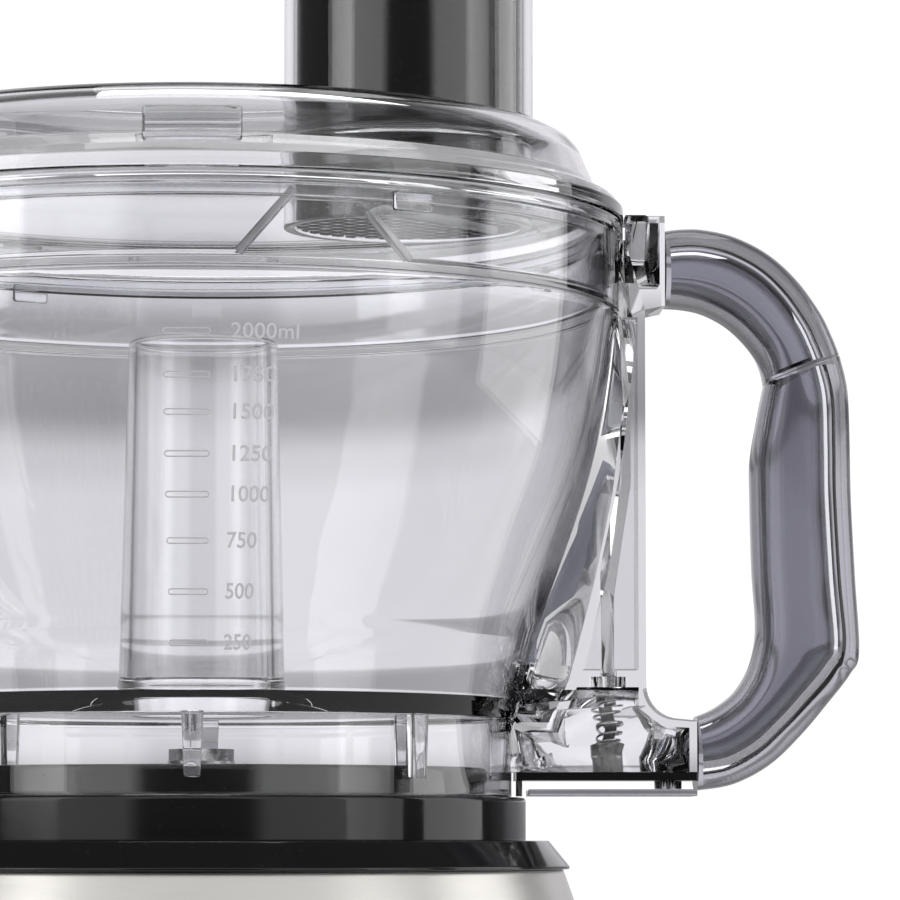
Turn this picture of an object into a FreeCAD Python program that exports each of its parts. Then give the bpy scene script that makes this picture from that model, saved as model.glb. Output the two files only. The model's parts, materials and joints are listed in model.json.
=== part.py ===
# Countertop food processor, built as an assembly of separate named pieces.
#
# Frame: origin on the table under the drive axis, +Z up, +X towards the bowl handle,
# -Y towards the user (the control dial). All sizes are in millimetres.
#
# From the table up: rubber feet, a black tray that carries the motor plate, a universal
# motor beside the drive axis, a belt to the output spindle, a flared steel housing, a black
# deck with the bowl seat, a clear 2 litre bowl with a hollow centre column, a smoke-grey
# handle with the safety rod inside its bracket, a clear domed lid with an oval feed tube,
# and a black food pusher.
import FreeCAD, Part
import math
import os

os.makedirs("parts", exist_ok=True)
V = FreeCAD.Vector
UP = V(0, 0, 1)
AXIS_POINT = V(0, 0, 0)

# ---------------------------------------------------------------- driving dimensions
BOWL_Z = 149.0          # table to the bottom of the bowl's skirt
DECK_TOP = 138.4        # table to the top of the black deck
BOWL_R = 104.0          # outside of the bowl's upper ring
RING_LOW = 120.5        # ring's lower shoulder, above the skirt bottom
RIM_HIGH = 142.5        # bowl rim, above the skirt bottom
FLOOR_TOP = 23.5        # bowl floor, above the skirt bottom
WALL = 2.6              # clear plastic wall
SKIRT_R = 77.0          # outside of the skirt under the bowl
LID_TOP = 165.0         # top of the lid's dome, above the skirt bottom
TUBE_X = 51.3           # feed tube centre, from the drive axis
TUBE_A, TUBE_B = 31.3, 27.0   # feed tube outside half sizes
TUBE_LOW, TUBE_HIGH = 142.0, 241.0
BRACKET_X = 110.0       # outer face of the handle bracket
BRACKET_HALF = 10.0     # half the bracket's width
HANDLE_HALF = 11.5      # half the handle's width
SHELL = 2.4             # handle wall
SPINE = 5.0             # handle wall along its outer edge
SKIRT_LOW = 122.9       # bottom of the lid's skirt, above the skirt of the bowl
MOTOR_X = -56.0         # motor axis, from the drive axis
MOTOR_PULLEY_R = 8.0
SPINDLE_PULLEY_R = 32.0
BUTTON_X = 78.9         # safety button in the seat's rim, under the handle's foot
PULLEY_Z0, PULLEY_Z1 = 22.0, 33.0
BELT_T = 1.6
PLATE_Z0, PLATE_Z1 = 36.0, 39.0
HOUSING_LOW, HOUSING_HIGH = 18.0, 131.2
HOUSING_FOOT_R, HOUSING_TOP_R = 110.0, 89.8
HOUSING_T = 0.8
DIAL_Z = 70.0
DIAL_R = 22.0
PANEL_Y = -117.0        # front face of the control panel
FIT = 0.3               # gap between pieces that move past each other


# ---------------------------------------------------------------- helpers
def save(name, shape):
    """Writes one node; every solid in it is checked to be closed and valid."""
    solids = shape.Solids
    if not solids or not all(s.isValid() and s.isClosed() for s in solids):
        raise RuntimeError(f"{name} is not a valid closed solid")
    out = solids[0] if len(solids) == 1 else Part.makeCompound(solids)
    out.exportStep(f"parts/{name}.step")
    print(f"{name:22s} {len(solids):2d} solid(s) {out.Volume / 1000:9.2f} cm3")


def cyl(r, z0, z1, x=0.0, y=0.0):
    return Part.makeCylinder(r, z1 - z0, V(x, y, z0))


def tube(r_in, r_out, z0, z1, x=0.0, y=0.0):
    return cyl(r_out, z0, z1, x, y).cut(cyl(r_in, z0 - 1, z1 + 1, x, y))


def box(x0, x1, y0, y1, z0, z1):
    return Part.makeBox(x1 - x0, y1 - y0, z1 - z0, V(x0, y0, z0))


def rod_y(r, y0, y1, x, z):
    """A round bar along Y."""
    return Part.makeCylinder(r, y1 - y0, V(x, y0, z), V(0, 1, 0))


def wire_xz(steps, y=0.0):
    """A closed wire in the XZ plane. A step is a point (x, z), or ("arc", middle, end),
    or ("curve", point, point, ...) for a smooth curve through those points."""
    here = steps[0]
    edges = []

    def at(p):
        return V(p[0], y, p[1])

    for step in steps[1:] + [steps[0]]:
        if step[0] == "arc":
            edges.append(Part.Arc(at(here), at(step[1]), at(step[2])).toShape())
            here = step[2]
        elif step[0] == "curve":
            spline = Part.BSplineCurve()
            spline.interpolate([at(here)] + [at(p) for p in step[1:]])
            edges.append(spline.toShape())
            here = step[-1]
        else:
            if math.hypot(here[0] - step[0], here[1] - step[1]) > 1e-6:
                edges.append(Part.LineSegment(at(here), at(step)).toShape())
            here = step
    return Part.Wire(edges)


def revolved(steps):
    """A solid of revolution about the drive axis from a closed (radius, z) outline."""
    return Part.Face(wire_xz(steps)).revolve(AXIS_POINT, UP, 360)


def slab_xz(steps, half):
    """An (x, z) outline made a slab from y = -half to +half."""
    return Part.Face(wire_xz(steps, -half)).extrude(V(0, 2 * half, 0))


def raised(steps, dz=BOWL_Z):
    """The same outline lifted by dz."""
    def up(p):
        return (p[0], p[1] + dz)

    out = []
    for s in steps:
        if isinstance(s[0], str):
            out.append((s[0],) + tuple(up(p) for p in s[1:]))
        else:
            out.append(up(s))
    return out


def oval(a, b, z0, z1, x=TUBE_X):
    """An upright oval prism, half sizes a along X and b along Y."""
    edge = Part.Ellipse(V(x, 0, z0), a, b).toShape()
    return Part.Face(Part.Wire([edge])).extrude(V(0, 0, z1 - z0))


def around(shape, count, first=0.0):
    """count copies of a shape spaced evenly about the drive axis."""
    out = []
    for i in range(count):
        one = shape.copy()
        one.rotate(AXIS_POINT, UP, first + 360.0 * i / count)
        out.append(one)
    return out


def hexagon(flats, z0, z1):
    r = flats / math.sqrt(3)
    pts = [V(r * math.cos(math.radians(60 * i)), r * math.sin(math.radians(60 * i)), z0)
           for i in range(7)]
    return Part.Face(Part.makePolygon(pts)).extrude(V(0, 0, z1 - z0))


def coil_spring(x, y, z0, z1, r, wire_r, turns):
    """A helical wire standing on z0, its wire's surface inside z0..z1."""
    low, high = z0 + wire_r, z1 - wire_r
    helix = Part.makeHelix((high - low) / turns, high - low, r)
    ring = Part.Wire([Part.Circle(V(r, 0, 0), V(0, 1, 0), wire_r).toShape()])
    pipe = Part.Wire(helix).makePipeShell([ring], True, True)
    pipe.translate(V(x, y, low))
    return pipe


# ---------------------------------------------------------------- base: tray and feet
SCREW_SPOTS = [(78.0, 45.0), (-78.0, 45.0), (78.0, -45.0), (-78.0, -45.0)]
FOOT_SPOTS = [(62.0, 62.0), (-62.0, 62.0), (62.0, -62.0), (-62.0, -62.0)]
PLATE_SPOTS = [(30.0, 48.0), (-84.0, 36.0), (30.0, -48.0), (-84.0, -36.0)]


def base_tray():
    dish = revolved([(0, 5), (104, 5), ("arc", (109.5, 6.8), (111, 12)), (111, HOUSING_LOW),
                     (107.5, HOUSING_LOW), (107.5, 12), ("arc", (106.5, 9), (103, 8)), (0, 8)])
    for x, y in SCREW_SPOTS:
        dish = dish.fuse(cyl(5, 8, 22, x, y)).cut(cyl(1.6, 10, 23, x, y))
    for x, y in PLATE_SPOTS:
        dish = dish.fuse(cyl(5, 8, PLATE_Z0, x, y)).cut(cyl(1.6, 20, PLATE_Z0 + 1, x, y))
    for x, y in FOOT_SPOTS:
        dish = dish.cut(cyl(10.3, 4, 6, x, y)).cut(cyl(3.2, 4, 9, x, y))
    for i in range(-3, 4):
        dish = dish.cut(box(MOTOR_X + 9 * i - 2, MOTOR_X + 9 * i + 2, -26, 26, 4, 9)
                        if abs(i) < 3 else cyl(2, 4, 9, MOTOR_X + 9 * i, 0))
    return dish


def foot_pads():
    pads = []
    for x, y in FOOT_SPOTS:
        pad = cyl(10, 0, 6, x, y).fuse(cyl(3, 6, 9.5, x, y))
        pads.append(pad.cut(cyl(6.5, -1, 1.2, x, y)))
    return Part.makeCompound(pads)


# ---------------------------------------------------------------- base: housing and deck
def housing_outline(inset):
    """Edge of the flared housing, moved in by inset: an arc upright at its foot."""
    drop = HOUSING_TOP_R - HOUSING_FOOT_R
    height = HOUSING_HIGH - HOUSING_LOW
    bend = (drop * drop + height * height) / (-2 * drop)
    middle = HOUSING_FOOT_R - bend + math.sqrt(bend * bend - (height / 2) ** 2)
    return (HOUSING_FOOT_R - inset, middle - inset, HOUSING_TOP_R - inset)


def housing_solid(inset, extra=0.0):
    foot, middle, top = housing_outline(inset)
    half = (HOUSING_LOW + HOUSING_HIGH) / 2
    low, high = HOUSING_LOW - extra, HOUSING_HIGH + extra
    return revolved([(0, low), (foot, low), (foot, HOUSING_LOW),
                     ("arc", (middle, half), (top, HOUSING_HIGH)), (top, high), (0, high)])


def motor_housing():
    shell = housing_solid(0).cut(housing_solid(HOUSING_T, 1.0))
    shell = shell.cut(box(-20, 20, -130, -80, DIAL_Z - 20, DIAL_Z + 20))
    return shell.cut(rod_y(7.0, 80, 130, 0, 34))


def top_deck():
    deck = revolved([(50, DECK_TOP), (86.2, DECK_TOP), (91.3, 132.2), (91.3, 131.4),
                     (88.2, 131.4), (88.2, 125), (86.2, 125), (86.2, 135.2), (50, 135.2)])
    for x, y in SCREW_SPOTS:
        length = math.hypot(x, y)
        px, py = x * 82.0 / length, y * 82.0 / length
        deck = deck.fuse(cyl(4, 118, 135.3, px, py)).cut(cyl(1.6, 117, 130, px, py))
    return deck


def bowl_seat():
    top = BOWL_Z
    seat = revolved([(80.5, DECK_TOP), (80.5, top - 0.8), ("arc", (80.27, top - 0.23), (79.7, top)),
                     (71, top), (71, top + 6.3), ("arc", (70.7, top + 7), (70, top + 7.3)),
                     (9, top + 7.3), (9, top + 4.3), (68, top + 4.3), (68, top - 3),
                     (77.5, top - 3), (77.5, DECK_TOP)])
    seat = seat.cut(cyl(1.4, top - 4, top + 1, BUTTON_X, 0))
    seat = seat.cut(box(70, 80.1, -1.7, 1.7, top - 6, top - 2.99))
    return seat.cut(tube(72.2, 77.3, top - 1.1, top + 1))


def control_panel():
    block = box(-46, 46, PANEL_Y, -80, DIAL_Z - 33, DIAL_Z + 33)
    upright = [e for e in block.Edges if abs(e.Vertexes[0].Y - e.Vertexes[1].Y) > 1]
    block = block.makeFillet(14, upright)
    rim = [e for e in block.Edges if e.BoundBox.YMax < PANEL_Y + 0.01]
    block = block.makeFillet(2.5, rim)
    block = block.cut(housing_solid(-0.05, 3.0))
    block = block.cut(rod_y(DIAL_R + 1.2, PANEL_Y - 1, PANEL_Y + 1.5, 0, DIAL_Z))
    return block.cut(rod_y(5.4, PANEL_Y - 1, -80, 0, DIAL_Z))


def cord_inlet():
    """Rubber bush in the back wall, with the mouth for the mains lead."""
    bush = rod_y(6.9, 98, 116, 0, 34).fuse(rod_y(10.0, 110.2, 113.5, 0, 34))
    bush = bush.fuse(rod_y(9.0, 101, 105.5, 0, 34))
    bush = bush.cut(rod_y(3.6, 90, 120, 0, 34))
    gap = housing_solid(-0.1).cut(housing_solid(HOUSING_T + 0.1, 1.0))
    return bush.cut(gap.cut(rod_y(6.9, 80, 130, 0, 34)))


# ---------------------------------------------------------------- dial and switch
def speed_dial():
    y0, y1 = PANEL_Y + 1.0 - FIT, PANEL_Y - 17.0
    knob = rod_y(DIAL_R, y1, y0, 0, DIAL_Z)
    front = [e for e in knob.Edges if e.BoundBox.YMax < y1 + 0.01]
    knob = knob.makeFillet(2.5, front)
    notch = rod_y(1.4, y1 + 3.5, y0 + 1, 0, DIAL_Z + DIAL_R + 0.5)
    for i in range(30):
        cut = notch.copy()
        cut.rotate(V(0, 0, DIAL_Z), V(0, 1, 0), 12.0 * i + 6)
        knob = knob.cut(cut)
    knob = knob.cut(box(-1.1, 1.1, y1 - 1, y1 + 0.8, DIAL_Z + 7, DIAL_Z + 18.5))
    return knob.cut(rod_y(3.0, y1 + 5, y0 + 1, 0, DIAL_Z))


def dial_pointer():
    y1 = PANEL_Y - 17.0
    return box(-1.1, 1.1, y1 + 0.1, y1 + 0.8, DIAL_Z + 7, DIAL_Z + 18.5)


def dial_shaft():
    return rod_y(3.0, PANEL_Y - 12.0, -83, 0, DIAL_Z)


def rotary_switch():
    body = box(-15, 15, -99, -82, DIAL_Z - 15, DIAL_Z + 15)
    body = body.fuse(rod_y(5.2, -104.0, -99, 0, DIAL_Z)).cut(rod_y(3.3, -120, -82.5, 0, DIAL_Z))
    for x in (-10, -3.5, 3.5, 10):
        body = body.fuse(box(x - 1, x + 1, -82, -76, DIAL_Z - 12, DIAL_Z - 8))
    return body


def circuit_board():
    board = box(-26, 26, -62, -60.4, 46, 92)
    board = board.fuse(box(-20, -8, -70, -62, 52, 70)).fuse(cyl_y_part(8, 78))
    return board.fuse(box(-3, 18, -67, -62, 50, 60))


def cyl_y_part(r, z):
    """The board's smoothing capacitor."""
    return rod_y(r, -75, -62, 10, z)


# ---------------------------------------------------------------- motor and belt drive
def motor_plate():
    plate = box(-94, 40, -56, 56, PLATE_Z0, PLATE_Z1)
    upright = [e for e in plate.Edges if abs(e.Vertexes[0].Z - e.Vertexes[1].Z) > 1]
    plate = plate.makeFillet(16, upright)
    plate = plate.cut(cyl(9, 30, 45, MOTOR_X)).cut(cyl(8, 30, 45))
    for x, y in PLATE_SPOTS:
        plate = plate.cut(cyl(2.2, 30, 45, x, y))
    return plate


def stator_core():
    core = cyl(33, 52, 84, MOTOR_X).cut(cyl(20, 50, 86, MOTOR_X))
    for side in (-1, 1):
        core = core.cut(box(MOTOR_X - 11, MOTOR_X + 11, side * 26 - 3.5, side * 26 + 3.5, 50, 86))
    return core


def field_coils():
    coils = []
    for side in (-1, 1):
        y = side * 26
        loop = box(MOTOR_X - 10.5, MOTOR_X + 10.5, y - 3.0, y + 3.0, 46, 90)
        coils.append(loop)
    return Part.makeCompound(coils)


def motor_frames():
    frames = []
    for z0, z1, leg0, leg1 in ((96, 99, 84, 96), (PLATE_Z1, 42, 42, 52)):
        ring = cyl(15, z0, z1, MOTOR_X)
        ring = ring.fuse(box(MOTOR_X - 31, MOTOR_X + 31, -6, 6, z0, z1))
        for side in (-1, 1):
            x = MOTOR_X + side * 27.5
            ring = ring.fuse(box(x - 3.5, x + 3.5, -6, 6, min(leg0, z0), max(leg1, z1)))
        frames.append(ring.cut(cyl(8, z0 - 5, z1 + 5, MOTOR_X)))
    return Part.makeCompound(frames)


def motor_bearings():
    return Part.makeCompound([tube(4.05, 8, 96, 99, MOTOR_X), tube(4.05, 8, 39, 42, MOTOR_X)])


def brush_holders():
    out = []
    for side in (-1, 1):
        y0, y1 = sorted((side * 10.0, side * 24.0))
        holder = box(MOTOR_X - 5, MOTOR_X + 5, y0, y1, 86.5, 94)
        y2, y3 = sorted((side * 9.0, side * 22.5))
        out.append(holder.cut(box(MOTOR_X - 3, MOTOR_X + 3, y2, y3, 88, 92.5)))
    return Part.makeCompound([h.cut(box(MOTOR_X - 11, MOTOR_X + 11, -30, -22.9, 80, 90.2))
                              .cut(box(MOTOR_X - 11, MOTOR_X + 11, 22.9, 30, 80, 90.2))
                              for h in out])


def carbon_brushes():
    out = []
    for side in (-1, 1):
        y0, y1 = sorted((side * 8.9, side * 20.0))
        out.append(box(MOTOR_X - 2.9, MOTOR_X + 2.9, y0, y1, 88.1, 92.4))
    return Part.makeCompound(out)


def rotor_shaft():
    return cyl(4.0, PULLEY_Z0 - 1, 108, MOTOR_X)


def armature():
    core = tube(4.0, 19.2, 54, 82, MOTOR_X)
    for i in range(12):
        slot = box(MOTOR_X + 13, MOTOR_X + 21, -0.9, 0.9, 53, 83)
        slot.rotate(V(MOTOR_X, 0, 0), UP, 30.0 * i)
        core = core.cut(slot)
    return core


def commutator():
    bars = tube(4.0, 8.5, 86.5, 94, MOTOR_X)
    for i in range(12):
        slot = box(MOTOR_X + 7.6, MOTOR_X + 9, -0.25, 0.25, 87.5, 95)
        slot.rotate(V(MOTOR_X, 0, 0), UP, 30.0 * i + 15)
        bars = bars.cut(slot)
    return bars


def cooling_fan():
    fan = tube(4.0, 8, 100.5, 107, MOTOR_X).fuse(tube(7.5, 26, 100.5, 102, MOTOR_X))
    for i in range(9):
        blade = box(MOTOR_X + 9, MOTOR_X + 26, -0.7, 0.7, 101.5, 109)
        blade.rotate(V(MOTOR_X + 9, 0, 0), UP, 35)
        blade = blade.common(cyl(26, 101, 110, MOTOR_X))
        blade.rotate(V(MOTOR_X, 0, 0), UP, 40.0 * i)
        fan = fan.fuse(blade)
    return fan


def grooved_pulley(r, bore, x):
    """Pulley with end flanges; its running face is r less the belt's half gap."""
    z0, z1 = PULLEY_Z0, PULLEY_Z1
    body = cyl(r, z0, z1, x)
    for z in (z0, z1 - 1):
        body = body.fuse(cyl(r + 2.2, z, z + 1, x))
    for i in range(4):
        z = z0 + 2.4 + 1.9 * i
        groove = tube(r - 0.6, r + 1, z, z + 0.7, x)
        body = body.cut(groove)
    return body.cut(cyl(bore, z0 - 1, z1 + 1, x))


def motor_pulley():
    return grooved_pulley(MOTOR_PULLEY_R, 4.0, MOTOR_X)


def spindle_pulley():
    body = grooved_pulley(SPINDLE_PULLEY_R, 5.0, 0)
    for i in range(5):
        hole = cyl(6, 0, 50, 19.5)
        hole.rotate(AXIS_POINT, UP, 72 * i)
        body = body.cut(hole)
    return body


def belt_loop(gap, z0, z1):
    """Closed outline round both pulleys, gap outside their running faces."""
    r1, r2 = SPINDLE_PULLEY_R + gap, MOTOR_PULLEY_R + gap
    lean = math.acos((r1 - r2) / -MOTOR_X)
    ca, sa = math.cos(math.pi - lean), math.sin(math.pi - lean)
    p1, q1 = V(r1 * ca, r1 * sa, z0), V(MOTOR_X + r2 * ca, r2 * sa, z0)
    p2, q2 = V(r1 * ca, -r1 * sa, z0), V(MOTOR_X + r2 * ca, -r2 * sa, z0)
    edges = [Part.LineSegment(p1, q1).toShape(),
             Part.Arc(q1, V(MOTOR_X - r2, 0, z0), q2).toShape(),
             Part.LineSegment(q2, p2).toShape(),
             Part.Arc(p2, V(r1, 0, z0), p1).toShape()]
    return Part.Face(Part.Wire(edges)).extrude(V(0, 0, z1 - z0))


def drive_belt():
    z0, z1 = PULLEY_Z0 + 1.6, PULLEY_Z1 - 1.6
    return belt_loop(FIT + BELT_T, z0, z1).cut(belt_loop(FIT, z0 - 1, z1 + 1))


# ---------------------------------------------------------------- output spindle
def spindle_housing():
    post = revolved([(8, PLATE_Z1), (23.5, PLATE_Z1), (23.5, 43), (15, 46), (14, 110),
                     ("arc", (14.6, 113), (17, 116)), (17, 128), (8, 128)])
    for i in range(3):
        rib = slab_xz([(13, 42), (23, 42), (13.5, 75)], 1.2)
        rib.rotate(AXIS_POINT, UP, 120 * i + 60)
        post = post.fuse(rib.cut(cyl(13, 30, 90)))
    return post


def spindle_bushes():
    return Part.makeCompound([tube(5.05, 8, 39, 49), tube(5.05, 8, 116, 128)])


def output_spindle():
    return cyl(5, PULLEY_Z0 - 2, 159)


def spindle_clips():
    """Snap rings that hold the spindle endways in its bushes."""
    return Part.makeCompound([tube(5.0, 7.2, 128.4, 129.4), tube(5.0, 7.2, 34.2, 35.2)])


def drive_coupling():
    """Low hexagonal driver just above the seat; a tool's stem reaches down to it."""
    hub = hexagon(14.0, 157.2, 161.0).fuse(cyl(8.4, 156.7, 158.0))
    return hub.cut(cyl(5, 150, 159))


def spindle_seal():
    lip = revolved([(6.2, 153.6), (9, 153.6), (9, 156.0), (7, 156.0), (5.4, 155.2), (5.4, 154.6),
                    (6.2, 154.4)])
    return lip


# ---------------------------------------------------------------- fasteners
def pan_screw(x, y, head_z, tip_z):
    """A pan-head screw whose head's flat side is at head_z, pointing to tip_z."""
    step = 1 if tip_z > head_z else -1
    head = cyl(3.2, *sorted((head_z - 2.0 * step, head_z)), x, y)
    shank = cyl(1.5, *sorted((head_z, tip_z)), x, y)
    slot_z = head_z - 1.2 * step
    low, high = sorted((slot_z, head_z - 2.5 * step))
    cross = box(x - 1.9, x + 1.9, y - 0.45, y + 0.45, low, high)
    cross = cross.fuse(box(x - 0.45, x + 0.45, y - 1.9, y + 1.9, low, high))
    return head.fuse(shank).cut(cross)


def plate_screws():
    return Part.makeCompound([pan_screw(x, y, PLATE_Z1, 24) for x, y in PLATE_SPOTS])


def deck_screws():
    out = []
    for x, y in SCREW_SPOTS:
        length = math.hypot(x, y)
        out.append(pan_screw(x * 82.0 / length, y * 82.0 / length, 118, 129))
    return Part.makeCompound(out)


# ---------------------------------------------------------------- base safety switch
def safety_switch():
    """Micro switch on the deck, under the bowl seat."""
    return box(60, 74, -5.5, 5.5, DECK_TOP, BOWL_Z - 5.5)


def safety_button():
    """Rubber-sealed button in the seat's rim, with an arm that reaches the micro switch."""
    button = cyl(1.1, BOWL_Z - 5.2, BOWL_Z - 0.1, BUTTON_X, 0)
    return button.fuse(box(68, BUTTON_X, -1.2, 1.2, BOWL_Z - 5.4, BOWL_Z - 3.6))


def glide_ring():
    """Slippery ring in the seat that the bowl's skirt stands on and turns with."""
    return tube(72.5, 77.0, BOWL_Z - 1.0, BOWL_Z - 0.05)


# ---------------------------------------------------------------- bowl
def taper_outer():
    """Outside of the bowl's wall from its floor to the ring, as (radius, height) points."""
    return [(79.0, 23.5), (82.8, 39.2), (89.8, 59.2), (96.3, 79.2), (100.5, 99.2), (103.0, RING_LOW)]


def taper_inner():
    return [(r - WALL, z) for r, z in taper_outer()]


def bowl_outside(grow=0.0):
    """The bowl as if solid, for trimming what is joined to its outside."""
    pts = [(r + grow, z) for r, z in taper_outer()]
    return revolved(raised([(0, -5), (SKIRT_R + grow, -5), (SKIRT_R + grow, 19.5),
                            ("arc", (78.2 + grow, 20.4), pts[0]), ("curve", *pts[1:]),
                            (BOWL_R + grow, RING_LOW), (BOWL_R + grow, 139.0),
                            (BOWL_R + 1 + grow, 139.3), (BOWL_R + 1 + grow, 150), (0, 150)]))


def lug(azimuth):
    """Small pill-shaped lug on the bowl's ring."""
    r = BOWL_R
    pill = box(r - 1.0, r + 1.6, -3.2, 3.2, BOWL_Z + 133.9, BOWL_Z + 138.7)
    ends = [e for e in pill.Edges if e.BoundBox.XMax - e.BoundBox.XMin > 1]
    pill = pill.makeFillet(2.3, ends)
    pill.rotate(AXIS_POINT, UP, azimuth)
    return pill


def bowl_shell():
    """Tapered wall and ring of the bowl, from its floor up."""
    outer, inner = taper_outer(), taper_inner()
    wall = revolved(raised([
        outer[0], ("curve", *outer[1:]),
        (BOWL_R, RING_LOW), (BOWL_R, 139.0), (BOWL_R + 1, 139.3), (BOWL_R + 1, RIM_HIGH),
        (BOWL_R - WALL, RIM_HIGH), (BOWL_R - WALL, RING_LOW + 1.5),
        ("curve", *reversed(inner[1:])), ("arc", (75.6, 25.2), (71.5, FLOOR_TOP))]))
    for azimuth in (-61, 61, 119, -119):
        wall = wall.fuse(lug(azimuth))
    return wall


def bowl_floor():
    """Floor of the bowl with the skirt it stands on; one moulding with the wall."""
    floor = revolved(raised([
        (SKIRT_R, 0.1), (SKIRT_R, 19.5), ("arc", (78.2, 20.4), taper_outer()[0]),
        (17.5, FLOOR_TOP), (17.5, 20.0), (SKIRT_R - WALL, 20.0), (SKIRT_R - WALL, 0.1)]))
    rib = box(71.8, SKIRT_R - WALL + 0.4, -1.8, 1.8, BOWL_Z + 8.2, BOWL_Z + 20.2)
    for one in around(rib, 8, 45.0):
        floor = floor.fuse(one)
    return floor


def centre_column():
    """Hollow column of the bowl, open at both ends; tools turn round it."""
    return revolved(raised([
        (17.5, FLOOR_TOP), (25.5, FLOOR_TOP), ("arc", (21.9, 25.0), (20.6, 28.5)), (18.6, 113.0),
        ("arc", (18.2, 113.6), (17.6, 113.8)), ("arc", (16.9, 113.5), (16.6, 113.0)), (17.5, 40.0)]))


# ---------------------------------------------------------------- handle bracket and interlock
SPRING_X = 101.0
SPRING_TOP, SPRING_LOW = 26.0, 11.4
LID_TURN = 15.0         # degrees from locked to open
LID_TRAVEL = 2.5        # how far the safety rod rises as the lid is turned open
ROD_HALF_Y = 1.5


def rod_outline(grow=0.0, down=0.0, up=0.0):
    """The cranked safety rod, side view, grown by a gap and stretched along its travel."""
    g = grow
    return raised([(SPRING_X - 1.5 - g, 27.0 - down), (SPRING_X + 1.5 + g, 27.0 - down),
                   (SPRING_X + 1.5 + g, 50.0 - down), (106.8 + g, 78.0 - down),
                   (106.8 + g, 128.0 + g + up), (104.6 - g, 128.0 + g + up),
                   (104.6 - g, 78.0 + g + up), (SPRING_X - 1.5 - g, 54.0 + g + up)])


def handle_bracket():
    half = BRACKET_HALF
    block = slab_xz(raised([(70, 6.3), (122.5, 6.3), (122.5, 19.0), (118, 19.4),
                            ("arc", (112.5, 21.8), (BRACKET_X, 28)), (BRACKET_X, 121),
                            (115.0, 122.0), (115.0, 144.5), (100, 144.5), (80, 60)]), half)
    inside = half - 1.8
    chamber = slab_xz(raised([(94.8, 31.7), (108.2, 31.7), (108.2, 119.2), (104.3, 119.2),
                              (106.2, 100.0), (101.6, 59.2)]), inside)
    by_wall = slab_xz(raised([(70, 18.3), (86.2, 18.3), (91.0, 29.2), (97.0, 52.0), (101.8, 75.0),
                              (104.6, 98.0), (103.4, 119.2), (90, 119.2)]), inside)
    by_wall = by_wall.cut(slab_xz(raised([(98, 90), (110, 90), (110, 125), (98, 125)]), half + 1)
                          .cut(slab_xz(raised([(98, 89), (104.9, 89), (104.9, 120), (98, 120)]), half + 2)))
    foot = slab_xz(raised([(79.6, 5), (120.7, 5), (120.7, 17.2), (114, 17.6), (108.2, 22.0),
                           (108.2, 27.2), (93.0, 27.2), (88.4, 15.9), (79.6, 15.9)]), inside)
    pocket = slab_xz(raised([(105.3, 127.5), (113.8, 127.5), (113.8, 146), (105.3, 146)]), inside)
    block = block.cut(bowl_outside(0.05)).cut(chamber).cut(by_wall).cut(foot).cut(pocket)
    block = block.cut(cyl(BOWL_R + 1.6, BOWL_Z + 138.4, BOWL_Z + 150))
    block = block.cut(box(105.3, 111.3, 0, 20, BOWL_Z + 130.6, BOWL_Z + 146))
    block = block.cut(box(103.0, 111.3, 0, 20, BOWL_Z + 138.4, BOWL_Z + 146))
    block = block.cut(cyl(4.5, BOWL_Z + 20, BOWL_Z + 27.0 + LID_TRAVEL + 0.4, SPRING_X, 0))
    block = block.cut(Part.Face(wire_xz(rod_outline(0.5, 1.0, LID_TRAVEL), -ROD_HALF_Y - 0.5))
                      .extrude(V(0, 2 * ROD_HALF_Y + 1.0, 0)))
    block = block.cut(box(70, 80, -1.9, 1.9, BOWL_Z + 5, BOWL_Z + 10.8))
    boss = cyl(4.6, BOWL_Z + 6.3, BOWL_Z + 18.5, 116, 0).cut(cyl(1.7, BOWL_Z, BOWL_Z + 16, 116, 0))
    block = block.fuse(boss)
    return largest(block.cut(cyl(1.7, BOWL_Z, BOWL_Z + 16, 116, 0)))


def largest(shape):
    """Drops loose chips left by a cut, keeping the main solid."""
    return sorted(shape.Solids, key=lambda s: -s.Volume)[0]


def interlock_rod():
    """Cranked rod with the spring's upper seat, and a toe that reaches in over the button."""
    rod = Part.Face(wire_xz(rod_outline(), -ROD_HALF_Y)).extrude(V(0, 2 * ROD_HALF_Y, 0))
    rod = rod.fuse(cyl(1.6, BOWL_Z + 6.6, BOWL_Z + 27.5, SPRING_X, 0))
    rod = rod.fuse(cyl(3.9, BOWL_Z + SPRING_TOP + 0.05, BOWL_Z + 26.9, SPRING_X, 0))
    rod = rod.fuse(box(BUTTON_X - 0.8, SPRING_X + 1, -1.5, 1.5, BOWL_Z + 6.6, BOWL_Z + 7.8))
    return rod.fuse(cyl(0.8, BOWL_Z + 0.35, BOWL_Z + 7.8, BUTTON_X, 0))


def interlock_block():
    """Black slider at the top of the rod; the lid's nose rides on its small ridge."""
    body = box(105.6, 113.5, -7.6, 7.6, BOWL_Z + 128.05, BOWL_Z + 129.8)
    ridge = box(105.8, 110.4, 2.0, 6.0, BOWL_Z + 129.5, BOWL_Z + 131.0)
    leg = box(111.3, 113.5, -7.6, 7.6, BOWL_Z + 129.5, BOWL_Z + 142.9)
    return body.fuse(ridge).fuse(leg)


def interlock_spring():
    return coil_spring(SPRING_X, 0, BOWL_Z + SPRING_LOW + 0.05, BOWL_Z + SPRING_TOP, 3.2, 0.35, 7)


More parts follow.
